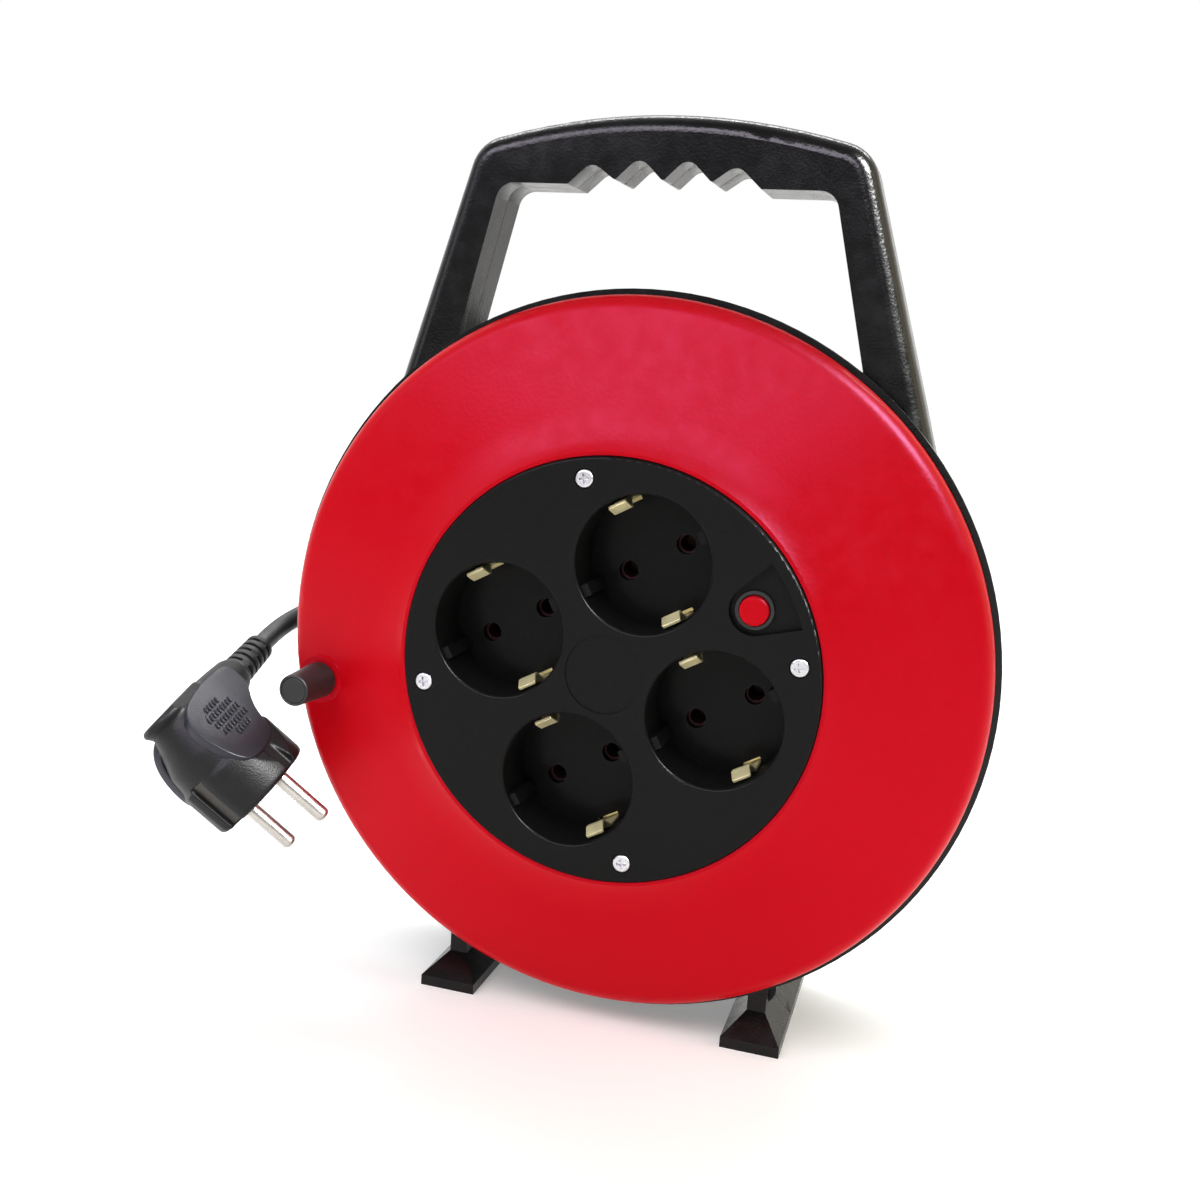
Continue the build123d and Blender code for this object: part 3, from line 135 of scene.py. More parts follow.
class EffectGroups:
    """Node groups that several finishes share, each built once."""

    CELL_ROUNDING = 0.6
    WAVE_SCALE = 0.04  # slow waves to the grain's cells
    FINE_MARKS = 7.0  # fine smears to broad ones
    MARK_CONTRAST = 3.2
    MARK_START = 0.45  # a surface is clean below it
    MIDDLE = 0.5  # of a noise
    SCRATCH_WAYS = ((0.5, 14.0), (2.1, 9.0))  # turn and stretch of each direction
    SCRATCH_TILT = 0.6

    def __init__(self) -> None:
        """Builds the groups."""
        self.grain = self._build_grain()
        self.handling = self._build_handling()
        self.flow = self._build_flow()
        self.scratches = self._build_scratches()

    @staticmethod
    def _new(name: str, inputs: dict[str, float], output: str) -> tuple[NodeTree, Node, Node]:
        """Starts a node group with a vector input, float inputs and a float output.

        Args:
            name: Name of the group.
            inputs: Default value of each float input.
            output: Name of the output.

        Returns:
            The node group, its input node and its output node.
        """
        tree = bpy.data.node_groups.new(name, "ShaderNodeTree")
        tree.interface.new_socket(name="Vector", in_out="INPUT", socket_type="NodeSocketVector")
        for key, value in inputs.items():
            socket = tree.interface.new_socket(name=key, in_out="INPUT", socket_type="NodeSocketFloat")
            socket.default_value = value
        tree.interface.new_socket(name=output, in_out="OUTPUT", socket_type="NodeSocketFloat")
        return tree, tree.nodes.new("NodeGroupInput"), tree.nodes.new("NodeGroupOutput")

    @staticmethod
    def _noise(tree: NodeTree, vector: object, scale: object, detail: float) -> object:
        """Adds a noise texture with some octaves of detail and gives its grey output."""
        inputs = {"Vector": vector, "Scale": scale, "Detail": detail}
        return add_node(tree, "ShaderNodeTexNoise", inputs).outputs["Fac"]

    def _build_grain(self) -> NodeTree:
        """Etched mould grain: a height of fine cells over slow waves.

        Returns:
            The node group.
        """
        tree, start, end = self._new("MouldGrain", {"Scale": 2200.0, "Waves": 0.25}, "Height")
        cells = add_node(tree, "ShaderNodeTexVoronoi", {
            "Vector": start.outputs["Vector"],
            "Scale": start.outputs["Scale"],
            "Smoothness": self.CELL_ROUNDING,
        }, feature="SMOOTH_F1")
        slow_scale = math_node(tree, "MULTIPLY", start.outputs["Scale"], self.WAVE_SCALE)
        waves = self._noise(tree, start.outputs["Vector"], slow_scale, 2.0)
        lifted = math_node(tree, "MULTIPLY", waves, start.outputs["Waves"])
        height = math_node(tree, "ADD", cells.outputs["Distance"], lifted)
        tree.links.new(height, end.inputs["Height"])
        return tree

    def _build_handling(self) -> NodeTree:
        """Patches where hands and dust have changed the gloss.

        Returns:
            The node group, whose output runs from 0, clean, to Amount.
        """
        tree, start, end = self._new("HandlingMarks", {"Scale": 28.0, "Amount": 0.2}, "Value")
        broad = self._noise(tree, start.outputs["Vector"], start.outputs["Scale"], 4.0)
        fine_scale = math_node(tree, "MULTIPLY", start.outputs["Scale"], self.FINE_MARKS)
        fine = self._noise(tree, start.outputs["Vector"], fine_scale, 3.0)
        mixed = math_node(tree, "MULTIPLY", broad, fine)
        spread = math_node(tree, "MULTIPLY", mixed, self.MARK_CONTRAST)
        low = math_node(tree, "SUBTRACT", spread, self.MARK_START)
        held = math_node(tree, "MAXIMUM", low, 0.0)
        capped = math_node(tree, "MINIMUM", held, 1.0)
        scaled = math_node(tree, "MULTIPLY", capped, start.outputs["Amount"])
        tree.links.new(scaled, end.inputs["Value"])
        return tree

    def _build_flow(self) -> NodeTree:
        """Faint clouds in the colour of moulded plastic.

        Returns:
            The node group, whose output stays near 0.5.
        """
        tree, start, end = self._new("MouldClouds", {"Scale": 14.0, "Amount": 0.3}, "Value")
        clouds = self._noise(tree, start.outputs["Vector"], start.outputs["Scale"], 5.0)
        centred = math_node(tree, "SUBTRACT", clouds, self.MIDDLE)
        scaled = math_node(tree, "MULTIPLY", centred, start.outputs["Amount"])
        value = math_node(tree, "ADD", scaled, self.MIDDLE)
        tree.links.new(value, end.inputs["Value"])
        return tree

    def _build_scratches(self) -> NodeTree:
        """Hair scratches in two directions.

        Returns:
            The node group, whose height is 0 away from a scratch.
        """
        tree, start, end = self._new("HairScratches", {"Scale": 60.0, "Width": 0.012}, "Height")
        total: Optional[object] = None
        for turn, stretch in self.SCRATCH_WAYS:
            place = add_node(tree, "ShaderNodeMapping", {
                "Vector": start.outputs["Vector"],
                "Rotation": (turn, turn * self.SCRATCH_TILT, turn),
                "Scale": (1.0, 1.0, 1.0 / stretch),
            })
            noise = self._noise(tree, place.outputs["Vector"], start.outputs["Scale"], 1.0)
            off = math_node(tree, "SUBTRACT", noise, self.MIDDLE)
            away = math_node(tree, "ABSOLUTE", off, 0.0)
            line = math_node(tree, "LESS_THAN", away, start.outputs["Width"])
            total = line if total is None else math_node(tree, "MAXIMUM", total, line)
        tree.links.new(total, end.inputs["Height"])
        return tree


# ---- finishes


@dataclass(frozen=True)
class Finish:
    """One surface finish, in plain numbers.

    Attributes:
        name: Name of the material.
        color: Linear base colour.
        shade: Colour that the clouds drift towards.
        roughness: Roughness of a clean stretch.
        metallic: 1 for metal, 0 for plastic.
        marks: How much rougher the handled patches are.
        grain: Cells of the mould grain to the metre.
        grain_depth: Strength of the grain's bump.
        waves: Share of slow waves in the grain.
        clouds: Patches of colour drift to the metre.
        drift: How far the colour drifts.
        scratch_depth: Strength of the hair scratches' bump.
        coat: Weight of a clear glossy skin.
        specular: Specular level of the plastic.
        glint: Colour of its reflections.
    """

    name: str
    color: Triple
    shade: Triple
    roughness: float
    metallic: float = 0.0
    marks: float = 0.12
    grain: float = 1800.0
    grain_depth: float = 0.04
    waves: float = 0.3
    clouds: float = 16.0
    drift: float = 0.5
    scratch_depth: float = 0.0
    coat: float = 0.0
    specular: float = 0.5
    glint: Triple = (1.0, 1.0, 1.0)

    def build(self, groups: EffectGroups) -> Material:
        """Makes the material.

        Args:
            groups: The shared effects.

        Returns:
            The new material.
        """
        material = bpy.data.materials.new(self.name)
        material.use_nodes = True
        tree = material.node_tree
        shader = tree.nodes["Principled BSDF"]
        set_inputs(shader, {
            Socket.METALLIC: self.metallic,
            Socket.SPECULAR: self.specular,
            Socket.SPECULAR_TINT: (*self.glint, 1.0),
            Socket.COAT: self.coat,
            Socket.COAT_ROUGHNESS: COAT_ROUGHNESS,
        })
        place = tree.nodes.new("ShaderNodeTexCoord").outputs["Object"]

        clouds = add_node(tree, "ShaderNodeGroup", {
            "Vector": place, "Scale": self.clouds, "Amount": self.drift}, node_tree=groups.flow)
        mix = add_node(tree, "ShaderNodeMix", {
            "Factor": clouds.outputs["Value"], "A": (*self.color, 1.0), "B": (*self.shade, 1.0)},
            data_type="RGBA")
        tree.links.new(mix.outputs["Result"], shader.inputs[Socket.COLOR.value])

        marks = add_node(tree, "ShaderNodeGroup", {
            "Vector": place, "Amount": self.marks}, node_tree=groups.handling)
        rough = math_node(tree, "ADD", marks.outputs["Value"], self.roughness)
        tree.links.new(rough, shader.inputs[Socket.ROUGHNESS.value])

        grain = add_node(tree, "ShaderNodeGroup", {
            "Vector": place, "Scale": self.grain, "Waves": self.waves}, node_tree=groups.grain)
        bump = add_node(tree, "ShaderNodeBump", {
            "Strength": self.grain_depth, "Distance": MM, "Height": grain.outputs["Height"]})
        if self.scratch_depth > 0:
            lines = add_node(tree, "ShaderNodeGroup", {"Vector": place}, node_tree=groups.scratches)
            bump = add_node(tree, "ShaderNodeBump", {
                "Strength": self.scratch_depth, "Distance": MM, "Height": lines.outputs["Height"],
                "Normal": bump.outputs["Normal"]}, invert=True)
        tree.links.new(bump.outputs["Normal"], shader.inputs[Socket.NORMAL.value])
        return material


FINISHES: dict[str, Finish] = {finish.name: finish for finish in (
    Finish(
        "disc_red", (0.62, 0.0016, 0.0060), (0.54, 0.0012, 0.0060), 0.28, marks=0.16, grain=900.0,
        grain_depth=0.03, waves=1.4, clouds=9.0, drift=0.9, scratch_depth=0.012, specular=0.12,
        glint=(1.0, 0.38, 0.78)),
    Finish(
        "housing_black", (0.0045, 0.0045, 0.0048), (0.0064, 0.0064, 0.0066), 0.20, marks=0.12,
        grain=1300.0, grain_depth=0.05, waves=1.2, clouds=40.0, drift=0.8, scratch_depth=0.03,
        specular=0.22),
    Finish(
        "panel_black", (0.0056, 0.0056, 0.0056), (0.0085, 0.0085, 0.0085), 0.50, marks=0.10,
        grain=3200.0, grain_depth=0.12, clouds=30.0, scratch_depth=0.02, coat=0.10, specular=0.03),
    Finish(
        "knob_black", (0.012, 0.012, 0.013), (0.020, 0.020, 0.021), 0.42, marks=0.12, grain=2600.0,
        grain_depth=0.08, specular=0.35),
    Finish("drum_grey", (0.03, 0.03, 0.032), (0.04, 0.04, 0.042), 0.5),
    Finish(
        "button_red", (0.60, 0.0020, 0.0060), (0.52, 0.0016, 0.0055), 0.34, grain=1200.0,
        grain_depth=0.03, specular=0.10, glint=(1.0, 0.4, 0.7)),
    Finish(
        "screw_steel", (0.60, 0.60, 0.62), (0.50, 0.50, 0.52), 0.24, metallic=1.0, marks=0.25,
        grain=2400.0, grain_depth=0.05, clouds=90.0),
    Finish(
        "spindle_steel", (0.36, 0.36, 0.37), (0.28, 0.28, 0.29), 0.32, metallic=1.0, marks=0.2),
    Finish("spring_steel", (0.5, 0.5, 0.52), (0.4, 0.4, 0.42), 0.35, metallic=1.0),
    Finish(
        "brass", (0.98, 0.90, 0.56), (0.84, 0.74, 0.38), 0.30, metallic=0.6, marks=0.2, clouds=120.0,
        grain=2400.0, grain_depth=0.03),
    Finish(
        "contact_bronze", (0.055, 0.014, 0.012), (0.035, 0.010, 0.010), 0.45, metallic=0.6, clouds=90.0),
    Finish(
        "nickel", (0.56, 0.54, 0.51), (0.46, 0.44, 0.41), 0.24, metallic=1.0, marks=0.18, clouds=80.0,
        grain=2000.0, grain_depth=0.03, scratch_depth=0.03),
    # Steel of the plug's earth contacts, darkened far below bare steel: painted shade of the narrow
    # slots they sit in
    Finish("sunk_steel", (0.09, 0.085, 0.08), (0.06, 0.056, 0.05), 0.4, metallic=1.0),
    Finish(
        "cable_jacket", (0.014, 0.014, 0.015), (0.024, 0.024, 0.026), 0.36, marks=0.15, grain=1600.0,
        grain_depth=0.05, specular=0.45),
    Finish(
        "soft_black", (0.010, 0.010, 0.011), (0.018, 0.018, 0.018), 0.45, grain=1800.0, grain_depth=0.08,
        specular=0.4),
    Finish(
        "plug_grey", (0.0075, 0.0077, 0.0086), (0.012, 0.0123, 0.0135), 0.40, marks=0.15, grain=2200.0,
        grain_depth=0.10, clouds=60.0, drift=0.8, specular=0.20),
    Finish("bush_white", (0.80, 0.80, 0.76), (0.70, 0.70, 0.66), 0.45),
    Finish("carrier_plastic", (0.62, 0.58, 0.48), (0.52, 0.48, 0.40), 0.5),
    Finish(
        "breaker_plastic", (0.010, 0.010, 0.011), (0.016, 0.016, 0.016), 0.4,
        grain=2400.0, specular=0.35),
    Finish("wire_brown", (0.12, 0.045, 0.02), (0.09, 0.035, 0.015), 0.4),
    Finish("wire_blue", (0.01, 0.06, 0.35), (0.01, 0.05, 0.28), 0.4),
    Finish("wire_green", (0.05, 0.28, 0.03), (0.04, 0.22, 0.02), 0.4),
)}

GRIP_FINISH = Finish(
    "grip_pad_grey", (0.030, 0.032, 0.046), (0.022, 0.023, 0.033), 0.32, grain=2000.0, grain_depth=0.08,
    specular=0.28)


# ---- mesh helpers


class Bench:
    """Small modelling steps that the pieces share."""

    @staticmethod
    def clear() -> None:
        """Deselects everything."""
        bpy.ops.object.select_all(action="DESELECT")

    @staticmethod
    def pick(obj: Object) -> None:
        """Selects one object and makes it active."""
        Bench.clear()
        obj.select_set(True)
        bpy.context.view_layer.objects.active = obj

    @staticmethod
    def apply_modifiers(obj: Object) -> None:
        """Applies all modifiers of an object."""
        Bench.pick(obj)
        for modifier in list(obj.modifiers):
            bpy.ops.object.modifier_apply(modifier=modifier.name)

    @staticmethod
    def settle(obj: Object, matrix: Optional[Matrix] = None) -> None:
        """Moves an object's place into its mesh.

        Args:
            obj: The object.
            matrix: Where its own frame lies in the reel's frame, if anywhere else.
        """
        Bench.pick(obj)
        bpy.ops.object.transform_apply(location=True, rotation=True, scale=True)
        if matrix is not None:
            obj.data.transform(matrix)

    @staticmethod
    def outward(obj: Object) -> None:
        """Merges doubles and turns all faces outward."""
        Bench.edit_all(obj)
        bpy.ops.mesh.remove_doubles(threshold=WELD)
        bpy.ops.mesh.normals_make_consistent(inside=False)
        bpy.ops.object.mode_set(mode="OBJECT")

    @staticmethod
    def edit_all(obj: Object) -> None:
        """Enters edit mode with everything selected."""
        Bench.pick(obj)
        bpy.ops.object.mode_set(mode="EDIT")
        bpy.ops.mesh.select_all(action="SELECT")

    @staticmethod
    def join(name: str, parts: Sequence[Object]) -> Object:
        """Joins objects into one.

        Args:
            name: Name of the result.
            parts: The objects, which are used up.

        Returns:
            The joined object.
        """
        Bench.clear()
        for part in parts:
            part.select_set(True)
        bpy.context.view_layer.objects.active = parts[0]
        bpy.ops.object.join()
        parts[0].name = name
        return parts[0]

    @staticmethod
    def melt(obj: Object, voxel: float, rounds: int) -> None:
        """Remeshes a body as one skin and softens it.

        Args:
            obj: The object.
            voxel: Size of the remesh in metres.
            rounds: Rounds of smoothing.
        """
        skin = obj.modifiers.new("skin", "REMESH")
        skin.mode = "VOXEL"
        skin.voxel_size = voxel
        soft = obj.modifiers.new("soft", "SMOOTH")
        soft.factor = 0.5
        soft.iterations = rounds
        Bench.apply_modifiers(obj)

    @staticmethod
    def cut(obj: Object, place: Sequence[float], way: Sequence[float]) -> None:
        """Cuts off what lies beyond a plane and closes the cut.

        Args:
            obj: The object.
            place: A point of the plane.
            way: The plane's normal, towards what is cut off.
        """
        Bench.edit_all(obj)
        bpy.ops.mesh.bisect(plane_co=place, plane_no=way, use_fill=True, clear_outer=True)
        bpy.ops.object.mode_set(mode="OBJECT")

    @staticmethod
    def stack(
        name: str, sections: Sequence[tuple[float, float, float, float]], sides: int = 64
    ) -> Object:
        """Adds a closed solid of oval rings stacked along Z.

        Args:
            name: Name of the object.
            sections: Height, half width, half depth and shift along X of each ring, in metres.
            sides: Points of each ring.

        Returns:
            The object.
        """
        Bench.clear()
        height, wide, deep, shift = sections[0]
        bpy.ops.mesh.primitive_circle_add(vertices=sides, radius=1.0, fill_type="NGON")
        obj = bpy.context.active_object
        obj.name = name
        obj.scale = (wide, deep, 1.0)
        obj.location = (shift, 0.0, height)
        Bench.settle(obj)
        Bench.edit_all(obj)
        for last, new in zip(sections, sections[1:]):
            step = (new[3] - last[3], 0.0, new[0] - last[0])
            bpy.ops.mesh.extrude_region_move(TRANSFORM_OT_translate={"value": step})
            bpy.ops.transform.resize(
                value=(new[1] / last[1], new[2] / last[2], 1.0), center_override=(new[3], 0.0, new[0]))
        bpy.ops.object.mode_set(mode="OBJECT")
        Bench.outward(obj)
        return obj

    @staticmethod
    def plate(name: str, outline: Sequence[Pair], thickness: float) -> Object:
        """Adds a flat plate with rounded corners on the XY plane.

        Args:
            name: Name of the object.
            outline: Its corners before rounding, in metres.
            thickness: Its thickness, up from the plane.

        Returns:
            The object.
        """
        corners = [Vector(place) for place in outline]
        for _ in range(3):
            ends = corners[1:] + corners[:1]
            corners = [a.lerp(b, share) for a, b in zip(corners, ends) for share in (0.25, 0.75)]
        Bench.clear()
        bpy.ops.mesh.primitive_circle_add(vertices=len(corners), radius=1.0, fill_type="NGON")
        obj = bpy.context.active_object
        obj.name = name
        for vertex, place in zip(obj.data.vertices, corners):
            vertex.co = (*place, 0.0)
        Bench.edit_all(obj)
        bpy.ops.mesh.extrude_region_move(TRANSFORM_OT_translate={"value": (0.0, 0.0, thickness)})
        bpy.ops.object.mode_set(mode="OBJECT")
        Bench.outward(obj)
        return obj

    @staticmethod
    def smooth(obj: Object, degrees: float = 35.0) -> None:
        """Shades an object smooth up to an angle."""
        Bench.pick(obj)
        bpy.ops.object.shade_smooth_by_angle(angle=math.radians(degrees))

    @staticmethod
    def bevel(obj: Object, width: float, segments: int = 3, degrees: float = 35.0) -> None:
        """Adds and applies a bevel on the edges sharper than an angle.

        Args:
            obj: The object.
            width: Width of the bevel in metres.
            segments: Number of segments.
            degrees: The least angle between faces.
        """
        modifier = obj.modifiers.new("edges", "BEVEL")
        modifier.width = width
        modifier.segments = segments
        modifier.limit_method = "ANGLE"
        modifier.angle_limit = math.radians(degrees)
        Bench.apply_modifiers(obj)

    @staticmethod
    def combine(target: Object, tool: Object, operation: str) -> None:
        """Boolean with another object, which is then deleted.

        Args:
            target: The object that stays.
            tool: The object that is used up.
            operation: UNION, DIFFERENCE or INTERSECT.
        """
        modifier = target.modifiers.new("shape", "BOOLEAN")
        modifier.operation = operation
        modifier.solver = "EXACT"
        modifier.object = tool
        Bench.apply_modifiers(target)
        bpy.data.objects.remove(tool)

    @staticmethod
    def cylinder(name: str, radius: float, low: float, high: float, sides: int = 64) -> Object:
        """Adds a cylinder along Z.

        Args:
            name: Name of the object.
            radius: Radius in metres.
            low: Height of its lower end.
            high: Height of its upper end.
            sides: Number of sides.

        Returns:
            The object.
        """
        Bench.clear()
        bpy.ops.mesh.primitive_cylinder_add(
            vertices=sides, radius=radius, depth=high - low, location=(0.0, 0.0, (low + high) / 2))
        obj = bpy.context.active_object
        obj.name = name
        Bench.settle(obj)
        return obj

    @staticmethod
    def block(name: str, low: Sequence[float], high: Sequence[float]) -> Object:
        """Adds a box between two corners.

        Args:
            name: Name of the object.
            low: Lowest corner.
            high: Highest corner.

        Returns:
            The object.
        """
        Bench.clear()
        middle = [(a + b) / 2 for a, b in zip(low, high)]
        bpy.ops.mesh.primitive_cube_add(size=1.0, location=middle)
        obj = bpy.context.active_object
        obj.name = name
        obj.scale = [b - a for a, b in zip(low, high)]
        Bench.settle(obj)
        return obj


def finish_piece(
    piece: Object,
    body: Body,
    material: Material,
    replaced: Iterable[str] = (),
) -> None:
    """Dresses a new piece and ties it to the frame.

    Args:
        piece: The piece.
        body: The body it rides on.
        material: Its material.
        replaced: CAD nodes that it stands for.
    """
    piece.data.materials.clear()
    piece.data.materials.append(material)
    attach(piece, body.value)
    if replaced:
        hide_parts(*replaced)
    count = len(piece.data.polygons) if piece.type == "MESH" else 0
    log.info("piece %s on %s, %d faces", piece.name, body.value, count)


# ---- CAD nodes


@dataclass
class FrameDresser:
    """Gives every CAD node its finish, and all but the plain ones a softened edge.

    Attributes:
        materials: Material of each slot.
        edge: Width of the softened edges in metres.
        sharp: Least angle of an edge that is softened, in degrees.
        wide_edges: Nodes with a softer edge of their own.
        special: Nodes whose finish isn't their slot's.
        plain: Nodes whose edges stay as they are.
    """

    materials: dict[str, Material]
    edge: float = 0.25 * MM
    sharp: float = 40.0
    wide_edges: dict[str, float] = field(default_factory=lambda: {
        "front_disc": 0.5 * MM, "front_housing": 0.6 * MM, "rear_housing": 0.6 * MM})
    special: dict[str, str] = field(default_factory=lambda: {
        "live_rail": "contact_bronze", "neutral_rail": "contact_bronze",
        # the plug's earth contacts take the darkened steel, painted shade of their slots
        "plug_earth_contacts": "sunk_steel"})
    plain: tuple[str, ...] = ("cable_winding", "button_spring", "socket_panel")

    def dress(self) -> None:
        """Dresses all nodes."""
        for entry in frame["record"]["subparts"]:
            node = frame["nodes"][entry["node"]]
            own = self.special.get(node.name, entry["material_slot"])
            material = self.materials[own]
            if not node.material_slots:
                node.data.materials.append(material)
            for slot in node.material_slots:
                slot.material = material
            if node.name not in self.plain:
                self._soften(node)
            log.info("node %s in %s", node.name, material.name)

    def _soften(self, node: Object) -> None:
        """Rounds a node's edges with live modifiers."""
        weld = node.modifiers.new("weld", "WELD")
        weld.merge_threshold = WELD
        bevel = node.modifiers.new("edges", "BEVEL")
        bevel.width = self.wide_edges.get(node.name, self.edge)
        bevel.segments = 3 if node.name in self.wide_edges else 2
        bevel.limit_method = "ANGLE"
        bevel.angle_limit = math.radians(self.sharp)


# ---- plug

# Corners of a grip pad before rounding, in millimetres
PAD_OUTLINE = (
    (22.0, 13.5), (21.0, 5.5), (12.5, -1.0), (8.5, -9.0), (5.0, -12.0), (-6.0, -13.0),
    (-11.0, -9.0), (-12.0, 5.0), (-7.0, 13.0), (6.0, 15.5), (19.0, 15.0),
)


@dataclass(frozen=True)
class PlugPlace:
    """Where the plug lies: Z along its pins, X towards its cable.

    Attributes:
        face: Middle of the face that the pins stand on.
        pin_way: The way the pins point.
        cable_way: The way the cable leaves, before it is squared to the pins.
        arm_back: The cable's axis behind the face.
        arm_reach: End of the cable arm from the pins' middle.
    """

    face: Triple = (-0.1080, -0.0337, 0.0611)
    pin_way: Triple = (0.70, 0.27, -0.66)
    cable_way: Triple = (-0.045, 0.935, 0.35)
    arm_back: float = 31.0 * MM
    arm_reach: float = 29.0 * MM

    def body_matrix(self) -> Matrix:
        """Gives the matrix from the plug's own frame to the reel's."""
        pins = Vector(self.pin_way).normalized()
        cable = Vector(self.cable_way)
        cable = (cable - pins * cable.dot(pins)).normalized()
        turn = Matrix((cable, pins.cross(cable), pins)).transposed()
        return Matrix.Translation(self.face) @ turn.to_4x4()

    def relief_matrix(self) -> Matrix:
        """Gives the matrix from the strain relief's frame, Z along the cable, to the reel's."""
        arm_end = Matrix.Translation((self.arm_reach, 0.0, -self.arm_back))
        return self.body_matrix() @ arm_end @ Matrix.Rotation(math.radians(90.0), 4, "Y")


@dataclass
class AngledPlug:
    """Two-pin plug with side earth contacts, whose cable leaves at a right angle.

    Attributes:
        place: Where the plug lies.
        radius: Radius of its round face.
        flat: Half width over the two flats.
        puck: Depth of the round part.
        contact_slot: Width, depth and length of an earth slot.
        guide_slot: Width, depth and length of a guide slot.
        pin_radius: Radius of a pin.
        pin_pitch: From pin to pin.
        pin_root: How deep the pins are sunk.
        facet_point: A point of the side facet, for the side towards +Y.
        facet_way: The facet's normal, for the same side.
        pad_depth: How deep a grip pad is sunk into its facet.
        pad_height: How far a grip pad stands out.
        face_round: Rounding of the face's edge.
        overlap: How far the round part runs into the tail.
        first_skin: Voxel and rounds of smoothing of the first skin.
        last_skin: Voxel and rounds of smoothing of the last skin.
        earth_hole: Place along X and radius of the hole for an earth pin.
        rib_size: Half sizes of a pad's rib.
        rib_turn: Turn of the ribs in degrees.
        rib_pitch: From rib to rib along and across, in millimetres.
        rib_shift: Middle of the ribs from the pad's, in millimetres.
        rib_field: Squared reach of the ribs along and across, and how much of it is kept.
    """

    place: PlugPlace
    radius: float = 17.5 * MM
    flat: float = 16.6 * MM
    puck: float = 15.0 * MM
    contact_slot: Triple = (5.4 * MM, 2.2 * MM, 17.0 * MM)
    guide_slot: Triple = (4.6 * MM, 2.0 * MM, 13.5 * MM)
    pin_radius: float = 2.43 * MM
    pin_pitch: float = 19.0 * MM
    pin_root: float = 10.0 * MM
    facet_point: Triple = (0.0, 12.4 * MM, -22.0 * MM)
    facet_way: Triple = (0.058, 0.966, -0.254)
    pad_depth: float = 2.6 * MM
    pad_height: float = 0.7 * MM
    face_round: float = 0.9 * MM
    overlap: float = 1.0 * MM
    first_skin: tuple[float, int] = (0.55 * MM, 7)
    last_skin: tuple[float, int] = (0.42 * MM, 2)
    earth_hole: Pair = (-10.5 * MM, 2.6 * MM)
    rib_size: Triple = (0.48 * MM, 1.25 * MM, 0.75 * MM)
    rib_turn: float = -24.0
    rib_pitch: Pair = (1.6, 2.9)
    rib_shift: Pair = (2.2, 2.6)
    rib_field: Triple = (20.0, 6.0, 1.05)

    def build(self, material: Material, grip: Material) -> list[Object]:
        """Makes the plug's body and its two grip pads.

        Args:
            material: Finish of the body.
            grip: Finish of the pads.

        Returns:
            The body and the pads.
        """
        body = self._shell()
        self._slots(body)
        Bench.melt(body, *self.last_skin)
        self._holes(body)
        Bench.settle(body, self.place.body_matrix())
        Bench.smooth(body, 50.0)
        finish_piece(body, Body.ROOT, material, ["plug_body"])
        pads = []
        for name, side in (("plug_grip_upper", 1), ("plug_grip_lower", -1)):
            pad = self._pad(name, side)
            finish_piece(pad, Body.ROOT, grip)
            pads.append(pad)
        return [body, *pads]

    def _shell(self) -> Object:
        """Blends the round part, the tail, the cable arm and the finger rim into one skin.

        Returns:
            The skin, in the plug's own frame.
        """
        puck = Bench.stack("plug_housing", [
            (-self.puck - self.overlap, self.radius, self.radius, 0.0),
            (-self.face_round, self.radius, self.radius, 0.0),
            (0.0, self.radius - self.face_round, self.radius - self.face_round, 0.0),
        ])
        for side in (1, -1):
            Bench.cut(puck, (side * self.flat, 0.0, 0.0), (side, 0.0, 0.0))
        tail = Bench.stack("tail", [
            mm(-38.6, 10.4, 8.6, 1.6),
            mm(-36.0, 11.4, 9.6, 1.4),
            mm(-30.0, 13.2, 12.6, 0.8),
            mm(-23.0, 15.6, 15.8, 0.2),
            mm(-14.0, 16.5, 17.2, 0.0),
        ])
        rim = Bench.stack("rim", [
            mm(-39.0, 12.2, 9.6, 0.4),
            mm(-37.2, 13.0, 10.2, 0.2),
            mm(-34.6, 11.2, 9.0, 1.0),
        ])
        arm = Bench.stack("arm", [
            mm(0.0, 7.6, 9.6, 0.0),
            mm(12.0, 7.7, 9.2, 0.0),
            mm(21.0, 7.1, 8.0, 0.0),
            mm(27.6, 6.5, 6.6, 0.0),
            mm(29.4, 5.9, 5.9, 0.0),
        ])
        turn = Matrix.Rotation(math.radians(90.0), 4, "Y")
        arm.data.transform(Matrix.Translation((0.0, 0.0, -self.place.arm_back)) @ turn)
        body = Bench.join("plug_housing", [puck, tail, rim, arm])
        Bench.melt(body, *self.first_skin)
        for side in (1, -1):
            x, y, z = self.facet_point
            wide, across, along = self.facet_way
            Bench.cut(body, (x, side * y, z), (wide, side * across, along))
        return body

    def _slots(self, body: Object) -> None:
        """Cuts the two earth slots and the two guide slots."""
        for axis, reach, size in ((0, self.flat, self.contact_slot), (1, self.radius, self.guide_slot)):
            width, depth, length = size
            for side in (1, -1):
                low = [-width / 2, -width / 2, -length]
                high = [width / 2, width / 2, depth]
                low[axis], high[axis] = sorted((side * (reach - depth), side * (reach + depth)))
                Bench.combine(body, Bench.block("slot", low, high), "DIFFERENCE")

    def _holes(self, body: Object) -> None:
        """Bores the seats of the pins and the hole for an earth pin."""
        earth_x, earth_radius = self.earth_hole
        for x, y, radius in (
            (0.0, self.pin_pitch / 2, self.pin_radius),
            (0.0, -self.pin_pitch / 2, self.pin_radius),
            (earth_x, 0.0, earth_radius),
        ):
            drill = Bench.cylinder("drill", radius, -self.pin_root, 2.0 * MM, 48)
            drill.data.transform(Matrix.Translation((x, y, 0.0)))
            Bench.combine(body, drill, "DIFFERENCE")

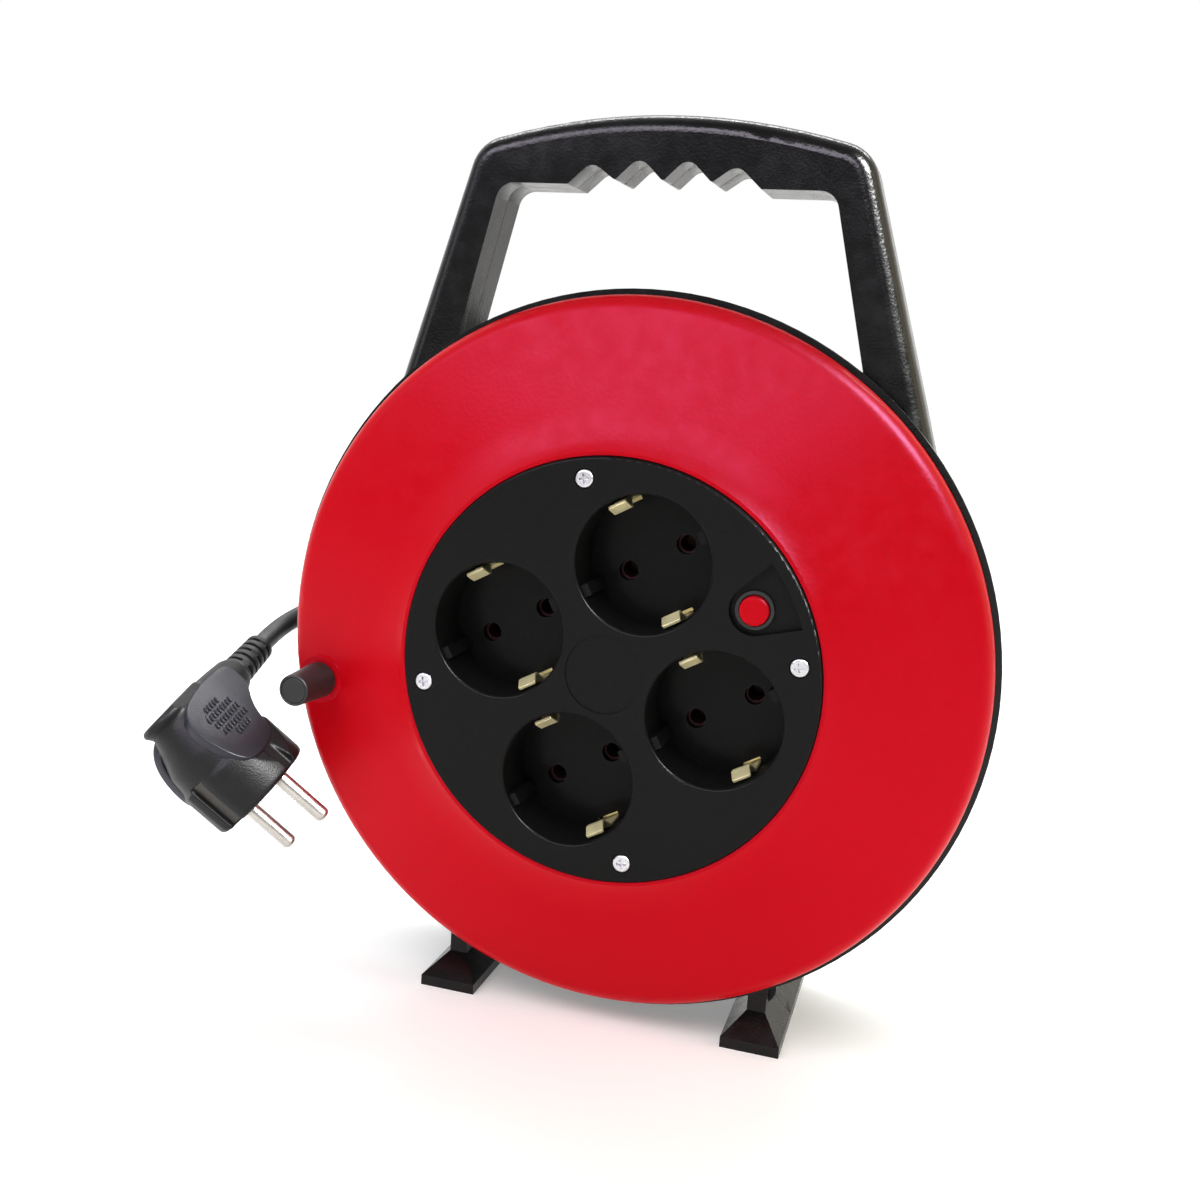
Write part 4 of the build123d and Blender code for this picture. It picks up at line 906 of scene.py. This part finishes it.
    def _pad(self, name: str, side: int) -> Object:
        """Makes a ridged finger pad on one of the plug's facets.

        Args:
            name: Name of the pad.
            side: 1 for the facet towards +Y, -1 for the other.

        Returns:
            The pad, in place.
        """
        outline = [mm(*corner) for corner in PAD_OUTLINE]
        pad = Bench.plate(name, outline, self.pad_depth + self.pad_height)
        Bench.bevel(pad, 0.4 * MM, 3)
        ribs = []
        along_reach, across_reach, kept = self.rib_field
        for row in range(-4, 5):
            for column in range(-2, 3):
                if row * row / along_reach + column * column / across_reach > kept:
                    continue
                Bench.clear()
                bpy.ops.mesh.primitive_uv_sphere_add(segments=12, ring_count=8, radius=1.0)
                rib = bpy.context.active_object
                rib.scale = self.rib_size
                rib.rotation_euler = (0.0, 0.0, math.radians(self.rib_turn))
                rib.location = (
                    (self.rib_pitch[0] * row + self.rib_shift[0]) * MM,
                    (self.rib_pitch[1] * column + self.rib_shift[1]) * MM,
                    self.pad_depth + self.pad_height,
                )
                Bench.settle(rib)
                ribs.append(rib)
        Bench.combine(pad, Bench.join("ribs", ribs), "UNION")
        x, y, z = self.facet_point
        wide, across, along = self.facet_way
        normal = Vector((wide, side * across, along)).normalized()
        lengthwise = Vector((1.0, 0.0, 0.0))
        lengthwise = (lengthwise - normal * lengthwise.dot(normal)).normalized()
        turn = Matrix((lengthwise, normal.cross(lengthwise), normal)).transposed()
        middle = Vector((x, side * y, z)) - normal * self.pad_depth
        flip = Matrix.Scale(side, 4, (0.0, 1.0, 0.0))
        pad.data.transform(Matrix.Translation(middle) @ turn.to_4x4() @ flip)
        Bench.settle(pad, self.place.body_matrix())
        Bench.outward(pad)
        Bench.smooth(pad, 50.0)
        return pad


@dataclass
class StrainRelief:
    """Ribbed sleeve round the cable where it leaves the plug.

    Attributes:
        place: Where the plug lies.
        length: Length of the sleeve.
        rings: Number of rings.
        neck: Radius between the rings.
        first: Radius of the ring next to the plug.
        last: Radius of the ring at the free end.
        share: Share of the pitch that a ring takes.
        tail: Bare end past the last ring.
        edge: Rounding of the rings' edges.
        post: Half width of a post, its stand below the ring and its overlap.
    """

    place: PlugPlace
    length: float = 18.0 * MM
    rings: int = 6
    neck: float = 3.75 * MM
    first: float = 5.3 * MM
    last: float = 4.7 * MM
    share: float = 0.56
    tail: float = 0.4 * MM
    edge: float = 0.22 * MM
    post: Triple = (1.3 * MM, 0.25 * MM, 0.3 * MM)

    def build(self, material: Material) -> Object:
        """Makes the sleeve.

        Args:
            material: Its finish.

        Returns:
            The sleeve.
        """
        pitch = (self.length - self.tail) / (self.rings - 1 + self.share)
        sections = []
        posts = []
        for ring in range(self.rings):
            low = ring * pitch
            high = low + self.share * pitch
            size = self.first + (self.last - self.first) * ring / (self.rings - 1)
            if ring:
                sections.append((low, self.neck, self.neck, 0.0))
                posts.append((low, size))
            sections.append((low, size, size, 0.0))
            sections.append((high, size, size, 0.0))
            sections.append((high, self.neck, self.neck, 0.0))
        sections.append((self.length, self.neck, self.neck, 0.0))
        sleeve = Bench.stack("plug_sleeve", sections, 48)
        for number, (low, size) in enumerate(posts):
            self._bridge(sleeve, number, low - (1.0 - self.share) * pitch, low, size)
        Bench.bevel(sleeve, self.edge, 2, 50.0)
        Bench.settle(sleeve, self.place.relief_matrix())
        Bench.smooth(sleeve, 45.0)
        finish_piece(sleeve, Body.ROOT, material, ["strain_relief"])
        return sleeve

    def _bridge(self, sleeve: Object, number: int, low: float, high: float, size: float) -> None:
        """Joins two neighbouring rings by a pair of posts, turned a quarter from pair to pair.

        Args:
            sleeve: The sleeve.
            number: Which gap.
            low: Where the gap begins.
            high: Where the gap ends.
            size: Radius of the ring beside it.
        """
        half, stand, into = self.post
        reach = size - stand
        wide, deep = (reach, half) if number % 2 else (half, reach)
        post = Bench.block("post", (-wide, -deep, low - into), (wide, deep, high + into))
        Bench.combine(sleeve, post, "UNION")


# ---- reset spring


@dataclass
class ResetSpring:
    """Coil spring under the reset button.

    Attributes:
        travel: How far the button goes in; not used.
    """

    travel: float = 2.0 * MM

    def build(self, material: Material) -> Object:
        """Makes the spring from its CAD solid's surface.

        Args:
            material: Its finish.

        Returns:
            The spring.
        """
        spring = bpy.data.objects.new("reset_spring", frame["nodes"]["button_spring"].data.copy())
        bpy.context.scene.collection.objects.link(spring)
        Bench.outward(spring)
        Bench.smooth(spring, 40.0)
        finish_piece(spring, Body.DRUM, material, ["button_spring"])
        low, high = (Vector(corner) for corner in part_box("button_spring"))
        foot = (low + high) / 2
        foot.y = high.y
        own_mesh(spring)
        return spring


# ---- wound cable


@dataclass
class WoundCable:
    """The cable on the drum, layer on layer.

    Attributes:
        diameter: Diameter of the cable.
        layers: Number of layers.
        nesting: Height of a layer over the one below, in diameters.
        turn_points: Points of one turn.
        slack: Gap kept to the drum.
    """

    diameter: float = 6.6 * MM
    layers: int = 3
    nesting: float = 0.86
    turn_points: int = 20
    slack: float = 0.12 * MM

    def build(self, material: Material) -> Object:
        """Makes the winding inside the space that the drum leaves for it.

        Args:
            material: Its finish.

        Returns:
            The winding as a mesh.
        """
        low, high = (Vector(corner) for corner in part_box("cable_winding"))
        axis = (low + high) / 2
        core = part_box("drum_core")
        flange = (core[1][0] - core[0][0]) / 2
        outer = min((high.x - low.x) / 2, flange)
        lift = (self.layers - 1) * self.nesting * self.diameter
        first = outer - self.diameter / 2 - lift - self.slack
        front = low.y + self.diameter / 2
        back = high.y - self.diameter / 2
        turns = (back - front) / self.diameter
        data = bpy.data.curves.new("wound_cable", "CURVE")
        data.dimensions = "3D"
        data.bevel_depth = self.diameter / 2 - self.slack / 2
        data.bevel_resolution = 3
        data.resolution_u = 3
        data.use_fill_caps = True
        places = []
        for layer in range(self.layers):
            radius = first + layer * self.nesting * self.diameter
            start, end = (front, back) if layer % 2 == 0 else (back, front)
            count = int(turns * self.turn_points)
            for i in range(count):
                share = i / (count - 1)
                angle = math.tau * (turns * share + layer * turns)
                places.append((
                    axis.x + radius * math.cos(angle),
                    start + (end - start) * share,
                    axis.z + radius * math.sin(angle),
                ))
        spline = data.splines.new("NURBS")
        spline.points.add(len(places) - 1)
        for point, place in zip(spline.points, places):
            point.co = (*place, 1.0)
        spline.order_u = 4
        spline.use_endpoint_u = True
        coil = bpy.data.objects.new("wound_cable", data)
        bpy.context.scene.collection.objects.link(coil)
        Bench.pick(coil)
        bpy.ops.object.convert(target="MESH")
        coil = bpy.context.active_object
        Bench.smooth(coil, 60.0)
        finish_piece(coil, Body.DRUM, material, ["cable_winding"])
        return coil


# ---- free cord


@dataclass
class FreeCord:
    """The short free stretch between the plug and the housing.

    Attributes:
        route: Control points from the housing to the plug.
        diameter: Outer diameter.
        length: Length of the free stretch in metres; not used.
    """

    route: tuple[Triple, ...] = (
        (-0.10185, 0.03098, 0.11462),
        (-0.11204, 0.03098, 0.11254),
        (-0.12139, 0.02725, 0.10923),
        (-0.12834, 0.02032, 0.10522),
        (-0.13187, 0.01122, 0.10109),
        (-0.13150, 0.00203, 0.09772),
    )
    diameter: float = 6.6 * MM
    length: float = 0.0515

    def build(self, material: Material, with_pieces: Sequence[Object]) -> Object:
        """Makes the cord.

        Args:
            material: Its finish.
            with_pieces: The pieces on the cord; not used.

        Returns:
            The curve object.
        """
        data = bpy.data.curves.new("supply_cord_jacket", "CURVE")
        data.dimensions = "3D"
        data.bevel_depth = self.diameter / 2
        data.bevel_resolution = 8
        data.resolution_u = 24
        data.use_fill_caps = True
        spline = data.splines.new("NURBS")
        spline.points.add(len(self.route) - 1)
        for point, place in zip(spline.points, self.route):
            point.co = (*place, 1.0)
        spline.order_u = 3
        spline.use_endpoint_u = True
        cord = bpy.data.objects.new("supply_cord_jacket", data)
        bpy.context.scene.collection.objects.link(cord)
        finish_piece(cord, Body.ROOT, material, ["supply_cord"])
        return cord


# ---- studio


@dataclass
class Studio:
    """Floor, lights and camera.

    Attributes:
        eye: Place of the camera.
        right: The camera's right.
        up: The camera's up.
        ahead: The way the camera looks.
        lens: Focal length in millimetres on a 36 mm sensor.
        floor_size: Side of the floor in metres.
        floor_grey: Linear brightness of the floor's colour.
        floor_glow: Light of the floor's own, which thins its shadows.
        dark_air: Brightness of the room in front of the reel.
        bright_air: Brightness of the pale wall behind it.
        backdrop: Brightness of the room where it is seen directly.
        warm_air: Colour of the room on the right.
        warm_from: Where along X the room starts to warm and where it is warmest.
        bright_from: Where along Y the room starts to brighten and where it is brightest.
        sun_power: Strength of the key light.
        sun_place: Where the key light stands, as a direction from the reel.
        sun_spread: Apparent size of the key light in degrees.
        target: What the area lights face.
    """

    eye: Triple = (0.096498, -0.378345, 0.200539)
    right: Triple = (0.95572251, 0.28706026, 0.06473708)
    up: Triple = (-0.11328083, 0.15585923, 0.98126212)
    ahead: Triple = (-0.27159148, 0.94514777, -0.1814766)
    lens: float = 38.915
    floor_size: float = 12.0
    floor_grey: float = 0.93
    floor_glow: float = 0.24
    dark_air: float = 0.20
    bright_air: float = 1.25
    backdrop: float = 1.0
    warm_air: Triple = (1.0, 0.93, 0.72)
    warm_from: Pair = (0.1, 0.8)
    bright_from: Pair = (-0.45, 0.55)
    sun_power: float = 1.3
    sun_place: Triple = (-0.35, -0.80, 1.35)
    sun_spread: float = 40.0
    target: Vector = field(default_factory=lambda: Vector((0.0, 0.0, 0.12)))

    def build(self) -> None:
        """Sets up the whole studio."""
        self._camera()
        self._floor()
        self._world()
        self._sun()
        self._strip("top_strip", (-0.05, 0.42, 0.95), (1.3, 0.10), 9.0, (1.0, 1.0, 1.0))
        self._strip("warm_side", (0.95, 0.10, 0.40), (0.35, 0.8), 1.6, (1.0, 0.87, 0.54))
        self._strip("cool_left", (-0.85, -0.45, 0.55), (0.35, 0.5), 1.2, (0.86, 0.90, 1.0))
        self._strip("cool_top", (-0.42, -1.40, 1.08), (1.9, 0.50), 42.0, (0.92, 0.84, 1.0), True)
        self._strip("edge_glint", (0.75, -0.45, 0.95), (0.45, 0.45), 60.0, (1.0, 1.0, 1.0), True)

    def _camera(self) -> None:
        """Adds the camera at the viewing angle."""
        data = bpy.data.cameras.new("camera")
        data.lens = self.lens
        data.sensor_width = 36.0
        data.clip_start = 0.01
        camera = bpy.data.objects.new("camera", data)
        bpy.context.scene.collection.objects.link(camera)
        rotation = Matrix((self.right, self.up, [-c for c in self.ahead])).transposed().to_4x4()
        camera.matrix_world = Matrix.Translation(self.eye) @ rotation
        bpy.context.scene.camera = camera

    def _floor(self) -> None:
        """Adds a wide pale floor, which looks evenly lit to its far edge."""
        Bench.clear()
        bpy.ops.mesh.primitive_plane_add(size=self.floor_size, location=(0.0, 0.0, 0.0))
        floor = bpy.context.active_object
        floor.name = "studio_floor"
        material = bpy.data.materials.new("studio_floor")
        material.use_nodes = True
        shader = material.node_tree.nodes["Principled BSDF"]
        set_inputs(shader, {
            Socket.COLOR: (self.floor_grey, self.floor_grey, self.floor_grey, 1.0),
            Socket.ROUGHNESS: 0.9,
            Socket.SPECULAR: 0.0,
            Socket.GLOW: (1.0, 1.0, 1.0, 1.0),
            Socket.GLOW_STRENGTH: self.floor_glow,
        })
        floor.data.materials.append(material)

    def _world(self) -> None:
        """Fills the room: dim in front, bright behind, and even where it is seen directly."""
        world = bpy.data.worlds.new("studio_air")
        world.use_nodes = True
        tree = world.node_tree
        background = tree.nodes["Background"]
        way = tree.nodes.new("ShaderNodeTexCoord").outputs["Generated"]
        parts = add_node(tree, "ShaderNodeSeparateXYZ", {"Vector": way})
        side = add_node(tree, "ShaderNodeMapRange", {
            "Value": parts.outputs["X"], "From Min": self.warm_from[0], "From Max": self.warm_from[1]})
        depth = add_node(tree, "ShaderNodeMapRange", {
            "Value": parts.outputs["Y"],
            "From Min": self.bright_from[0],
            "From Max": self.bright_from[1],
            "To Min": self.dark_air,
            "To Max": self.bright_air,
        }, interpolation_type="SMOOTHSTEP")
        seen = tree.nodes.new("ShaderNodeLightPath").outputs["Is Camera Ray"]
        unseen = math_node(tree, "SUBTRACT", 1.0, seen)
        warm = math_node(tree, "MULTIPLY", unseen, side.outputs["Result"])
        tint = add_node(tree, "ShaderNodeMix", {
            "Factor": warm, "A": (1.0, 1.0, 1.0, 1.0), "B": (*self.warm_air, 1.0)}, data_type="RGBA")
        level = add_node(tree, "ShaderNodeMix", {
            "Factor": seen, "A": depth.outputs["Result"], "B": self.backdrop})
        tree.links.new(tint.outputs["Result"], background.inputs["Color"])
        tree.links.new(level.outputs["Result"], background.inputs["Strength"])
        bpy.context.scene.world = world
        bpy.context.scene.view_settings.view_transform = "Standard"

    def _sun(self) -> None:
        """Adds the soft key light."""
        data = bpy.data.lights.new("key_sun", "SUN")
        data.energy = self.sun_power
        data.angle = math.radians(self.sun_spread)
        light = bpy.data.objects.new("key_sun", data)
        bpy.context.scene.collection.objects.link(light)
        light.rotation_euler = (-Vector(self.sun_place)).to_track_quat("-Z", "Y").to_euler()
        light.visible_glossy = False

    def _strip(
        self,
        name: str,
        place: Triple,
        size: Pair,
        power: float,
        color: Triple,
        mirrored_only: bool = False,
    ) -> None:
        """Adds a rectangular area light that faces the reel.

        Args:
            name: Name of the light.
            place: Where it stands.
            size: Width and height in metres.
            power: Power in watts.
            color: Linear colour.
            mirrored_only: Shows in reflections and lights nothing else.
        """
        data = bpy.data.lights.new(name, "AREA")
        data.shape = "RECTANGLE"
        data.size = size[0]
        data.size_y = size[1]
        data.energy = power
        data.color = color
        light = bpy.data.objects.new(name, data)
        bpy.context.scene.collection.objects.link(light)
        light.location = place
        light.visible_diffuse = not mirrored_only
        way = self.target - Vector(place)
        light.rotation_euler = way.to_track_quat("-Z", "Y").to_euler()


def main() -> None:
    """Builds the looks in order."""
    logging.basicConfig(level=logging.INFO, format="%(name)s: %(message)s")
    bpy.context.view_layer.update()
    groups = EffectGroups()
    materials = {slot: finish.build(groups) for slot, finish in FINISHES.items()}
    Studio().build()
    FrameDresser(materials).dress()
    place = PlugPlace()
    sleeve = StrainRelief(place).build(materials["soft_black"])
    plug = AngledPlug(place).build(materials["plug_grey"], GRIP_FINISH.build(groups))
    metal = [frame["nodes"][name] for name in ("plug_pins", "plug_earth_contacts")]
    FreeCord().build(materials["cable_jacket"], [sleeve, *plug, *metal])
    WoundCable().build(materials["cable_jacket"])
    ResetSpring().build(materials["spring_steel"])


if __name__ == "__main__":
    main()
